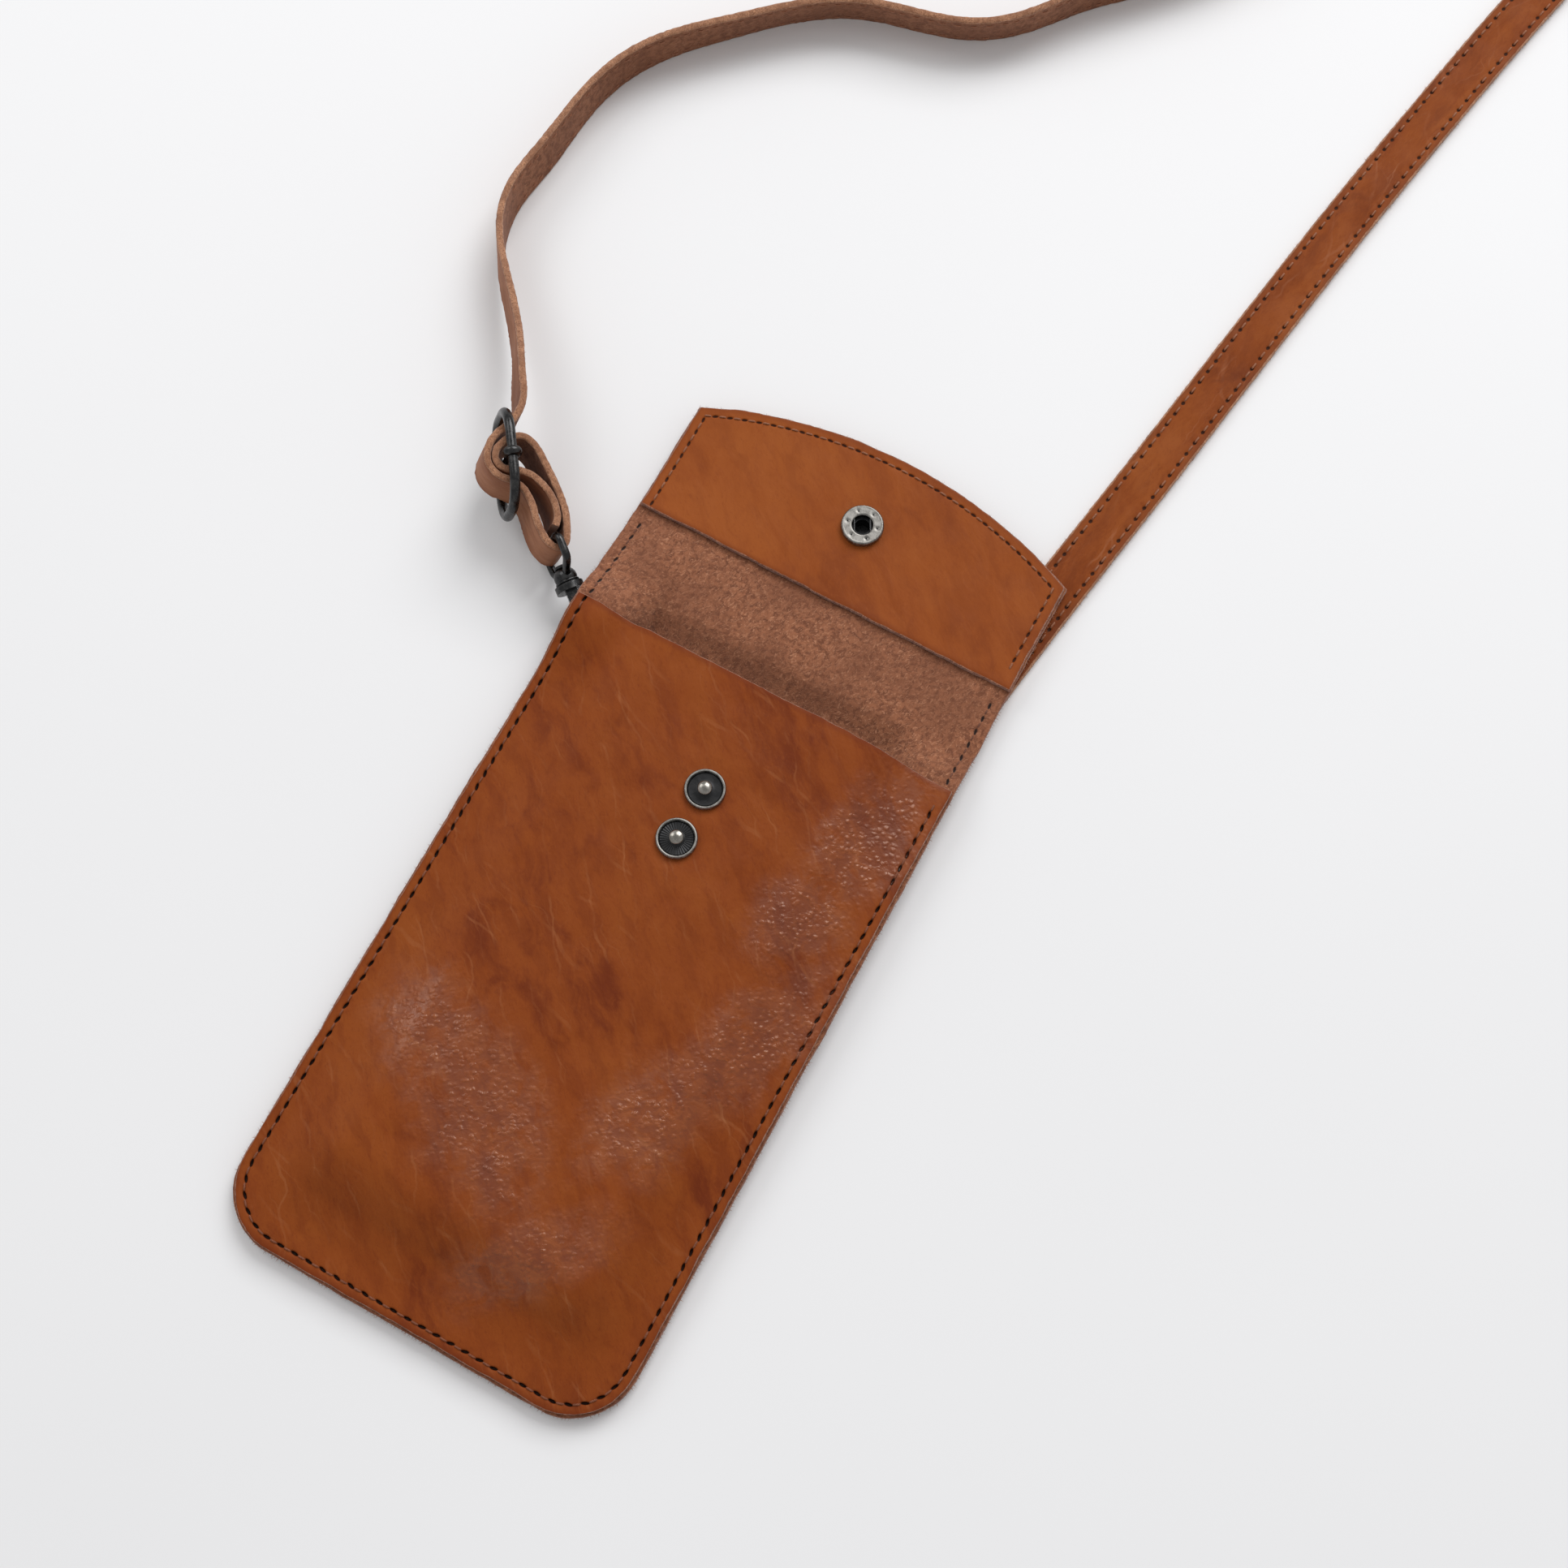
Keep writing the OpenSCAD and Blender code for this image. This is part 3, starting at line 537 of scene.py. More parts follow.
def punch(
    piece: Piece, face: Face, spots: Array, across: float, along: float, depth: float
) -> None:
    """Presses stitch holes into one side of a piece of leather, and stores how deep each vertex lies in them
    for the painted shade of the holes.

    Args:
        piece: the piece.
        face: the side that is punched.
        spots: holes as x, y in metres of the flat piece, and direction in radians.
        across: half width of a hole in metres.
        along: half length of a hole in metres.
        depth: depth of a hole in metres.
    """
    floor, wall, dip = 0.45, 1.05, 2.2
    refine(piece, face, spots[:, :2], along + 0.5 * MM, 2)
    mesh = piece.data
    normals = read(mesh.vertices, "normal", 3)
    marked = slot_vertices(piece, face)
    gap = nearest_gap(values_of(piece, PLACE, 3)[marked], spots, across, along)
    deep = np.zeros(len(mesh.vertices))
    deep[marked] = 1 - ease((gap - floor) / wall)
    # The depth in a hole is kept for the painted shade of the holes.
    set_values(piece, PIT_SHADE, np.maximum(deep, values_of(piece, PIT_SHADE)))
    soft = np.zeros(len(mesh.vertices))
    soft[marked] = np.exp(-((gap / dip) ** 2))
    shift = depth * (0.8 * deep + 0.2 * soft)
    set_points(piece, points_of(piece) - normals * shift[:, None])


def bore(piece: Piece, spot: Point2, radius: float) -> None:
    """Cuts a hole through a piece of leather and closes its wall.

    Args:
        piece: a piece of leather with its flat places stored.
        spot: middle of the hole on the flat piece, in metres.
        radius: radius of the hole in metres.
    """
    for side in (Face.GRAIN, Face.FLESH):
        refine(piece, side, np.array([spot]), radius + 1.5 * MM, 2)
    place = values_of(piece, PLACE, 3)[:, :2]
    middles = [place[list(face.vertices)].mean(0) for face in piece.data.polygons]
    select_faces(piece, np.array([np.hypot(*(middle - spot)) < radius for middle in middles]))
    with editing(piece, "FACE"):
        bpy.ops.mesh.delete(type="FACE")
        bpy.ops.mesh.select_mode(type="EDGE")
        bpy.ops.mesh.select_non_manifold()
        bpy.ops.mesh.bridge_edge_loops()


def recalculate(piece: Piece, merge: bool = True) -> None:
    """Turns all faces outwards, after doubled vertices are merged or without that."""
    with editing(piece, "VERT"):
        bpy.ops.mesh.select_all(action="SELECT")
        if merge:
            bpy.ops.mesh.remove_doubles(threshold=1e-6)
        bpy.ops.mesh.normals_make_consistent(inside=False)


def turned(name: str, profile: Sequence[Point2], segments: int = 64, ring: bool = False) -> Piece:
    """Turns a profile round the z axis, as a stack of extruded circles.

    Args:
        name: name of the piece.
        profile: radius and height of each circle, in millimetres.
        segments: number of segments of a circle.
        ring: whether the last circle joins the first one.

    Returns:
        The closed piece, at the origin.
    """
    deselect()
    first_r, first_z = profile[0]
    bpy.ops.mesh.primitive_circle_add(
        vertices=segments, radius=first_r * MM, location=(0, 0, first_z * MM), fill_type="NOTHING"
    )
    piece = newly_made(name)
    bpy.ops.object.transform_apply(location=True, rotation=False, scale=False)
    with editing(piece, "VERT"):
        bpy.ops.mesh.select_all(action="SELECT")
        for (r0, z0), (r1, z1) in pairwise(profile):
            bpy.ops.mesh.extrude_region_move(TRANSFORM_OT_translate={"value": (0, 0, (z1 - z0) * MM)})
            share = r1 / r0
            bpy.ops.transform.resize(value=(share, share, 1), center_override=(0, 0, z1 * MM))
        bpy.ops.mesh.select_all(action="DESELECT")
        bpy.ops.mesh.select_mode(type="EDGE")
        bpy.ops.mesh.select_non_manifold()
        if ring:
            bpy.ops.mesh.bridge_edge_loops()
        else:
            bpy.ops.mesh.fill_holes(sides=0)
    recalculate(piece)
    return piece


def bevel(piece: Piece, width: float, degrees: float, **settings: object) -> None:
    """Rounds the edges sharper than an angle by a width in millimetres."""
    limit = {"limit_method": "ANGLE", "angle_limit": math.radians(degrees)}
    modify(piece, "BEVEL", width=width * MM, segments=2, **limit, **settings)


def soften(piece: Piece, width: float) -> None:
    """Rounds the sharp edges of a metal piece by a width in millimetres."""
    bevel(piece, width, 28, use_clamp_overlap=True)
    smooth(piece, 35)


def wire(name: str, route: Array, radius: float, closed: bool, sides: int = 5) -> Piece:
    """Makes a round wire along a route.

    Args:
        name: name of the piece.
        route: points in millimetres of the row frame, one row each.
        radius: radius of the wire in millimetres.
        closed: whether the wire is a loop.
        sides: resolution of its section.

    Returns:
        The wire as a mesh.
    """
    deselect()
    bpy.ops.curve.primitive_nurbs_path_add()
    line = newly_made(name).data
    line.splines.clear()
    spline = line.splines.new("POLY")
    spline.points.add(len(route) - 1)
    for point, place in zip(spline.points, route):
        point.co = (*(np.asarray(place) * MM), 1)
    spline.use_cyclic_u = closed
    line.dimensions = "3D"
    line.twist_mode = "MINIMUM"
    line.bevel_depth = radius * MM
    line.bevel_resolution = sides
    line.use_fill_caps = not closed
    bpy.ops.object.convert(target="MESH")
    piece = bpy.context.active_object
    recalculate(piece)
    smooth(piece)
    return piece


def filleted(corners: Sequence[Point2], bend: float, steps: int = 8, closed: bool = True) -> list[Point2]:
    """Rounds the corners of a flat outline.

    Args:
        corners: the corners in order.
        bend: radius of each rounding.
        steps: number of segments of each rounding.
        closed: whether the outline is a loop.

    Returns:
        The points of the rounded outline.
    """
    made: list[Point2] = []
    n = len(corners)
    for k, corner in enumerate(corners):
        b = np.array(corner)
        if not closed and k in (0, n - 1):
            made.append(tuple(b))
            continue
        into = b - np.array(corners[k - 1])
        out = np.array(corners[(k + 1) % n]) - b
        into, out = into / np.linalg.norm(into), out / np.linalg.norm(out)
        turn = math.acos(float(np.clip(into @ out, -1, 1)))
        hand = math.copysign(1, into[0] * out[1] - into[1] * out[0])
        start = b - into * bend * math.tan(turn / 2)
        normal = hand * np.array([-into[1], into[0]])
        for s in range(steps + 1):
            a = turn * s / steps
            made.append(tuple(start + bend * (into * math.sin(a) + normal * (1 - math.cos(a)))))
    return made


def join(name: str, pieces: Sequence[Piece]) -> Piece:
    """Joins several meshes into the first one."""
    activate(pieces[0])
    for piece in pieces[1:]:
        piece.select_set(True)
    bpy.ops.object.join()
    pieces[0].name = name
    return pieces[0]


def rough(place: Array, scale: float, seed: float) -> Array:
    """Smooth random numbers from about -1 to 1 at places in millimetres, with features of a size."""
    shift = Vector((seed * 7.31, seed * 3.17, seed * 5.71))
    fade, finer, layers = 1.0, 2.0, 2
    return np.array([noise.fractal(Vector(p) / scale + shift, fade, finer, layers) for p in place])


def ridges(place: Array, scale: float, seed: float, axis: Axis) -> Array:
    """Sharp random ridges from 0 to 1 at places in millimetres, as creases in leather have them."""
    stretch = np.array(axis.value)
    shift = Vector((seed * 2.93, seed * 6.13, seed))
    made = [noise.noise(Vector(p * stretch) / scale + shift) for p in place]
    return np.clip(1 - np.abs(made) * 6, 0, 1) ** 2


class Cells(Enum):
    """Patterns of cells: their thin borders, or soft pebbles."""

    BORDER = "DISTANCE_TO_EDGE"
    PEBBLE = "SMOOTH_F1"


@dataclass(frozen=True)
class Patch:
    """An oval patch of the flat leather, in millimetres and degrees."""

    x: float
    y: float
    long: float
    wide: float
    turn: float


class Graph:
    """Builder of the nodes of one material."""

    def __init__(self, name: str) -> None:
        """Starts a material with a Principled shader and an output."""
        self.material = bpy.data.materials.new(name)
        self.material.use_nodes = True
        self.tree = self.material.node_tree
        self.tree.nodes.clear()
        self.shader = self.tree.nodes.new("ShaderNodeBsdfPrincipled")
        out = self.tree.nodes.new("ShaderNodeOutputMaterial")
        self.tree.links.new(self.shader.outputs[0], out.inputs[0])

    def put(self, socket: bpy.types.NodeSocket, value: Input) -> None:
        """Links a socket to an output, or sets it to a value."""
        if isinstance(value, bpy.types.NodeSocket):
            self.tree.links.new(value, socket)
        else:
            socket.default_value = value

    def node(self, kind: str, inputs: dict[int | str, Input], **settings: object) -> bpy.types.Node:
        """Adds a node with its settings and inputs."""
        made = self.tree.nodes.new(kind)
        for name, value in settings.items():
            setattr(made, name, value)
        for name, value in inputs.items():
            self.put(made.inputs[name], value)
        return made

    def dress(self, **values: Input) -> None:
        """Sets sockets of the shader; a name's underscores stand for spaces."""
        for name, value in values.items():
            self.put(self.shader.inputs[name.replace("_", " ")], value)

    def object_place(self) -> Input:
        """Place on the piece, in metres."""
        return self.node("ShaderNodeTexCoord", {}).outputs["Object"]

    def stored_place(self) -> Input:
        """Place on the flat piece of leather, in metres."""
        return self.node("ShaderNodeAttribute", {}, attribute_name=PLACE).outputs["Vector"]

    def stored(self, name: str) -> Input:
        """A stored number of the mesh."""
        return self.node("ShaderNodeAttribute", {}, attribute_name=name).outputs["Fac"]

    def mapped(self, place: Input, turn: float, scale: Point2, at: Point2 = (0.0, 0.0)) -> Input:
        """The place as seen from a turned and stretched frame."""
        inputs = {
            "Vector": place, "Location": (*at, 0),
            "Rotation": (0, 0, math.radians(turn)), "Scale": (*scale, 1.0),
        }
        return self.node("ShaderNodeMapping", inputs, vector_type="TEXTURE").outputs[0]

    def stretched(self, place: Input, long: float, turn: float) -> Input:
        """The place with patterns drawn out by a factor along a direction in degrees."""
        return self.mapped(place, turn, (long, 1.0))

    def oval(self, place: Input, patch: Patch) -> Input:
        """Share from 0 to 1 of an oval patch, soft towards its rim."""
        half, at = (patch.long * MM, patch.wide * MM), (patch.x * MM, patch.y * MM)
        far = self.vector("LENGTH", {0: self.mapped(place, patch.turn, half, at)}).outputs["Value"]
        return self.between(far, 0.15, 1.0, (1.0, 0.0))

    def ovals(self, place: Input, patches: Sequence[Patch]) -> Input:
        """Share of several oval patches together."""
        total: Input = 0.0
        for patch in patches:
            total = self.math("MAXIMUM", total, self.oval(place, patch))
        return total

    def strokes(self, place: Input, gap: float, turn: float, sway: float) -> Input:
        """Long thin wavering lines a gap in millimetres apart, along a direction in degrees.

        Args:
            place: the place.
            gap: distance of the lines in millimetres.
            turn: their direction in degrees.
            sway: how far they waver.

        Returns:
            1 on a line and 0 off it.
        """
        inputs = {
            "Vector": self.stretched(place, 1.0, turn), "Scale": math.pi / (10 * gap * MM),
            "Distortion": sway, "Detail": 3.0, "Detail Scale": 0.9, "Detail Roughness": 0.55,
        }
        wave = self.node("ShaderNodeTexWave", inputs, wave_type="BANDS", bands_direction="Y")
        return self.between(wave.outputs["Fac"], 0.982, 0.999)

    def clouds(
        self, place: Input, size: float, detail: float = 3, warp: float = 0, gain: float = 0.5
    ) -> Input:
        """Soft noise with features of a size in millimetres."""
        inputs = {
            "Vector": place, "Scale": 1 / (size * MM),
            "Detail": detail, "Distortion": warp, "Roughness": gain,
        }
        return self.node("ShaderNodeTexNoise", inputs).outputs[0]

    def cells(self, place: Input, size: float, kind: Cells) -> Input:
        """Distance pattern of cells of a size in millimetres."""
        inputs = {"Vector": place, "Scale": 1 / (size * MM)}
        made = self.node("ShaderNodeTexVoronoi", inputs, feature=kind.value)
        if kind is Cells.PEBBLE:
            made.inputs["Smoothness"].default_value = 0.2
        return made.outputs[0]

    def warped(self, place: Input, size: float, amount: float) -> Input:
        """The place shifted by noise of a size, by an amount in millimetres."""
        inputs = {"Vector": place, "Scale": 1 / (size * MM), "Detail": 2.0}
        shift = self.node("ShaderNodeTexNoise", inputs).outputs["Color"]
        centred = self.vector("SUBTRACT", {0: shift, 1: (0.5, 0.5, 0.5)}).outputs[0]
        scaled = self.vector("SCALE", {0: centred, "Scale": 2 * amount * MM}).outputs[0]
        return self.vector("ADD", {0: place, 1: scaled}).outputs[0]

    def vector(self, operation: str, inputs: dict[int | str, Input]) -> bpy.types.Node:
        """Adds a node that works on vectors."""
        return self.node("ShaderNodeVectorMath", inputs, operation=operation)

    def math(self, operation: str, a: Input, b: Input) -> Input:
        """Works out one number from two."""
        return self.node("ShaderNodeMath", {0: a, 1: b}, operation=operation).outputs[0]

    def sum(self, total: Input, *others: Input) -> Input:
        """Adds several numbers."""
        for other in others:
            total = self.math("ADD", total, other)
        return total

    def times(self, total: Input, *others: Input) -> Input:
        """Multiplies several numbers."""
        for other in others:
            total = self.math("MULTIPLY", total, other)
        return total

    def between(self, value: Input, low: float, high: float, to: Point2 = (0.0, 1.0)) -> Input:
        """Maps a stretch of values smoothly to another stretch."""
        inputs = {"Value": value, "From Min": low, "From Max": high, "To Min": to[0], "To Max": to[1]}
        return self.node("ShaderNodeMapRange", inputs, interpolation_type="SMOOTHSTEP").outputs[0]

    def blend(self, share: Input, a: Input, b: Input) -> Input:
        """Mixes two colours."""
        colours = [(*c, 1.0) if isinstance(c, tuple) else c for c in (a, b)]
        made = self.node("ShaderNodeMix", {0: share, 6: colours[0], 7: colours[1]}, data_type="RGBA")
        return made.outputs[2]

    def over(
        self, tone: Input, colour: Input, value: Input, low: float, high: float, to: Point2 = (0.0, 1.0)
    ) -> Input:
        """Lays a colour over a tone where a value is high."""
        return self.blend(self.between(value, low, high, to), tone, colour)

    def relief(self, height: Input) -> None:
        """Uses a height in millimetres as the relief of the surface."""
        inputs = {"Height": height, "Distance": MM, "Strength": 1.0}
        self.dress(Normal=self.node("ShaderNodeBump", inputs).outputs[0])


@dataclass(frozen=True)
class Finish:
    """A material with nodes of its own."""

    name: str

    def build(self) -> Material:
        """Makes the material."""
        g = Graph(self.name)
        self.paint(g)
        return g.material

    def paint(self, g: Graph) -> None:
        """Lays the nodes, as each kind of finish does in its own way."""
        raise NotImplementedError


@dataclass(frozen=True)
class GrainLeather(Finish):
    """Waxed grain side of leather: clouded, finely creased, and pebbled where it shines."""

    dark: Colour
    mid: Colour
    light: Colour
    rubbed: Colour
    shiny: tuple[Patch, ...] = ()
    deep: tuple[Patch, ...] = ()
    pale: tuple[Patch, ...] = ()
    pebble: float = 1.45
    pebble_h: float = 0.2
    wrinkle_h: float = 0.2
    crease_h: float = 0.05
    cloud: float = 34.0
    streak_turn: float = -43.0
    line_share: float = 0.34
    streak_share: float = 0.32
    roughness: Point2 = (0.55, 0.34)
    level: Point2 = (0.16, 0.75)
    glow: Colour = (1.0, 0.79, 0.66)
    far: tuple[Colour, Colour, Colour] | None = None
    far_from: Point2 = (0.25, 0.62)
    rim_share: float = 0.62
    # Near-black colour of the painted shade in the stitch holes.
    pit_shade: Colour = (0.012, 0.004, 0.003)

    def tone(self, g: Graph, place: Input, wobble: Input, colours: tuple[Colour, Colour, Colour]) -> Input:
        """Clouded colour with long pale streaks and fine fibres.

        Args:
            g: builder of the nodes.
            place: place on the flat leather.
            wobble: the place shifted for the soft rims of the patches.
            colours: dark, middle and light colour.

        Returns:
            The colour.
        """
        dark, mid, light = colours
        turn, share = self.streak_turn, self.streak_share
        long = g.stretched(g.warped(place, 14, 5), 2.5, turn)
        both = g.sum(
            g.times(g.clouds(long, self.cloud, 4, 0.6, 0.55), 0.62),
            g.times(g.clouds(long, self.cloud * 0.24, 4, 0.8, 0.6), 0.38),
            g.times(g.ovals(wobble, self.deep), -0.055),
            g.times(g.ovals(wobble, self.pale), 0.06),
        )
        tone = g.over(g.over(dark, mid, both, 0.36, 0.49), light, both, 0.47, 0.64)
        fibre = g.clouds(g.stretched(g.warped(place, 4, 1.1), 3.2, turn), 0.5, 4, 0.8, 0.6)
        tone = g.over(tone, light, fibre, 0.5, 0.74, (0.0, 0.4))
        tone = g.over(tone, dark, fibre, 0.26, 0.5, (0.4, 0.0))
        streak = g.clouds(g.stretched(g.warped(place, 10, 3), 4.0, turn), 4.5, 3, 0.4)
        tone = g.over(tone, dark, streak, 0.34, 0.52, (share, 0.0))
        return g.over(tone, light, streak, 0.5, 0.7, (0.0, share))

    def lines(self, g: Graph, place: Input) -> Input:
        """Fine broken creases that run along the streaks.

        Args:
            g: builder of the nodes.
            place: place on the flat leather.

        Returns:
            Strength of the creases.
        """
        turn = self.streak_turn
        shaken = g.warped(place, 1.6, 0.3)
        first = g.strokes(shaken, 9.5, turn - 4, 7.0)
        second = g.times(g.strokes(shaken, 14.0, turn + 24, 6.0), 0.8)
        third = g.times(g.strokes(shaken, 6.0, turn + 8, 9.0), 0.55)
        net = g.between(g.cells(g.stretched(shaken, 2.0, turn), 2.3, Cells.BORDER), 0.0, 0.08, (1.0, 0.0))
        broken = g.between(g.clouds(g.stretched(place, 2.0, turn), 7, 3), 0.44, 0.62)
        broken = g.times(broken, g.between(g.clouds(place, 28, 2), 0.38, 0.6, (0.25, 1.0)))
        return g.times(g.sum(first, second, third, g.times(net, 0.2)), broken)

    def paint(self, g: Graph) -> None:
        """Lays the clouded tone, the creases, the dark rim and the shiny pebbled zones, with painted shade in
        the stitch holes and in the folds of the shiny zones.
        """
        turn, place = self.streak_turn, g.stored_place()
        wobble = g.warped(place, 16, 7)
        line = self.lines(g, place)
        tone = self.tone(g, place, wobble, (self.dark, self.mid, self.light))
        if self.far:
            run = g.node("ShaderNodeSeparateXYZ", {0: place}).outputs["Y"]
            tone = g.over(tone, self.tone(g, place, wobble, self.far), run, *self.far_from)
        tone = g.blend(g.times(line, self.line_share), tone, self.rubbed)
        tone = g.over(tone, self.dark, g.stored(EDGE), 0.2, 2.2, (self.rim_share, 0.0))
        # Painted shade: stitch holes darken towards a near-black colour.
        tone = g.over(tone, self.pit_shade, g.stored(PIT_SHADE), 0.1, 0.6)
        ragged = g.between(g.clouds(place, 6, 4, 0.8, 0.6), 0.3, 0.6, (0.35, 1.0))
        shine = g.times(g.ovals(wobble, self.shiny), ragged)
        drawn = g.stretched(g.warped(place, 1.8, 0.5), 1.12, turn + 80)
        pebbles = g.between(g.cells(drawn, self.pebble, Cells.PEBBLE), 0.05, 0.6, (1.0, 0.0))
        folds = g.clouds(g.stretched(g.warped(place, 5, 1.6), 2.0, 28), 2.6, 3, 0.9, 0.5)
        # Painted shade: the folds and the gaps between the pebbles of the shiny zones are darkened.
        crease_shade = g.times(g.between(g.sum(folds, g.times(pebbles, 0.3)), 0.42, 0.62, (1.0, 0.0)), shine)
        tone = g.blend(g.times(crease_shade, 0.6), tone, self.dark)
        g.relief(g.sum(
            g.times(pebbles, g.sum(g.times(shine, 0.85), 0.1), self.pebble_h),
            g.times(folds, shine, self.wrinkle_h),
            g.times(line, -self.crease_h * 0.4),
            g.times(g.clouds(place, 0.5, 4), 0.02),
            g.times(g.clouds(g.stretched(place, 1.8, turn), 7, 3, 0.8), 0.25),
        ))
        uneven = g.between(g.clouds(place, 9, 3), 0.3, 0.7, (-0.05, 0.05))
        gloss = g.sum(g.between(shine, 0.0, 0.8, self.roughness), uneven)
        level = g.between(shine, 0.0, 0.8, self.level)
        g.dress(Base_Color=tone, Roughness=gloss, Specular_IOR_Level=level, Specular_Tint=(*self.glow, 1.0))


@dataclass(frozen=True)
class FleshLeather(Finish):
    """Rough flesh side of leather, with short matted fibres."""

    dark: Colour
    mid: Colour
    light: Colour
    nap: float = 0.09
    tuft: float = 2.2
    sheen: float = 0.2
    # Near-black colour of the painted shade in the stitch holes.
    pit_shade: Colour = (0.02, 0.008, 0.005)

    def paint(self, g: Graph) -> None:
        """Lays swept fibres over tufts and broad darker clouds, with painted shade in the stitch holes."""
        place = g.stored_place()
        fibre = g.clouds(g.stretched(g.warped(place, 6, 1.5), 2.0, 60), 0.6, 5, 1.2, 0.7)
        tuft = g.clouds(g.warped(place, 3, 1.0), self.tuft, 5, 0.5, 0.7)
        tone = g.over(self.dark, self.mid, tuft, 0.36, 0.62)
        tone = g.over(tone, self.light, fibre, 0.5, 0.68, (0.0, 0.85))
        tone = g.over(tone, self.dark, g.clouds(place, 22, 3), 0.38, 0.6, (0.42, 0.0))
        # Painted shade: stitch holes darken towards a near-black colour.
        tone = g.over(tone, self.pit_shade, g.stored(PIT_SHADE), 0.12, 0.7)
        g.relief(g.sum(g.times(fibre, self.nap * 1.6), g.times(tuft, self.nap)))
        dull = g.between(tuft, 0.3, 0.7, (0.92, 0.8))
        g.dress(
            Base_Color=tone, Roughness=dull, Specular_IOR_Level=0.2,
            Sheen_Weight=self.sheen, Sheen_Roughness=0.5,
        )


@dataclass(frozen=True)
class CutLeather(Finish):
    """Raw cut edge of leather."""

    dark: Colour
    light: Colour

    def paint(self, g: Graph) -> None:
        """Lays fine fibres with darker clouds."""
        place = g.object_place()
        fibre = g.clouds(g.warped(place, 1.4, 0.5), 0.5, 5, 1.4, 0.7)
        tone = g.over(self.dark, self.light, fibre, 0.38, 0.6)
        tone = g.over(tone, self.dark, g.clouds(place, 4.5, 4, 0.6, 0.6), 0.36, 0.6, (0.6, 0.0))
        g.relief(g.times(fibre, 0.3))
        dull = g.between(fibre, 0.3, 0.7, (0.75, 0.95))
        g.dress(Base_Color=tone, Roughness=dull, Specular_IOR_Level=0.25, Sheen_Weight=0.3)


@dataclass(frozen=True)
class Thread(Finish):
    """Waxed sewing thread with the fine mottle of its plies."""

    dark: Colour
    light: Colour

    def paint(self, g: Graph) -> None:
        """Lays the mottle of the plies."""
        ply = g.clouds(g.warped(g.object_place(), 0.8, 0.2), 0.22, 3, 0.5)
        g.relief(g.times(ply, 0.05))
        g.dress(
            Base_Color=g.over(self.dark, self.light, ply, 0.35, 0.65),
            Roughness=g.between(ply, 0.3, 0.7, (0.6, 0.8)), Specular_IOR_Level=0.2, Sheen_Weight=0.06,
        )


@dataclass(frozen=True)
class Metal(Finish):
    """Plated metal with fine scratches and small worn spots."""

    dark: Colour
    light: Colour
    gloss: float
    wear: float

    def paint(self, g: Graph) -> None:
        """Lays the worn spots and the scratches."""
        place = g.object_place()
        cloud = g.clouds(place, 1.6, 4, 0.4, 0.6)
        tone = g.over(self.dark, self.light, cloud, 0.4, 0.66, (0.0, self.wear))
        tone = g.over(tone, self.light, g.clouds(place, 0.35, 3), 0.62, 0.74, (0.0, 0.5))
        scratch = g.clouds(g.stretched(place, 10.0, 65), 0.3, 2)
        g.relief(g.sum(g.times(scratch, 0.004), g.times(cloud, 0.012)))
        gloss = g.between(cloud, 0.3, 0.7, (self.gloss - 0.05, self.gloss + 0.14))
        g.dress(Base_Color=tone, Roughness=gloss, Metallic=1.0)


@dataclass(frozen=True)
class Table(Finish):
    """Plain pale table top."""

    name: str = "pale_table"
    colour: Colour = (0.875, 0.875, 0.885)

    def paint(self, g: Graph) -> None:
        """Lays a faint unevenness."""
        faint = g.clouds(g.object_place(), 260, 2)
        low = tuple(c * 0.985 for c in self.colour)
        g.dress(Base_Color=g.over(low, self.colour, faint, 0.3, 0.7), Roughness=0.75, Specular_IOR_Level=0.15)


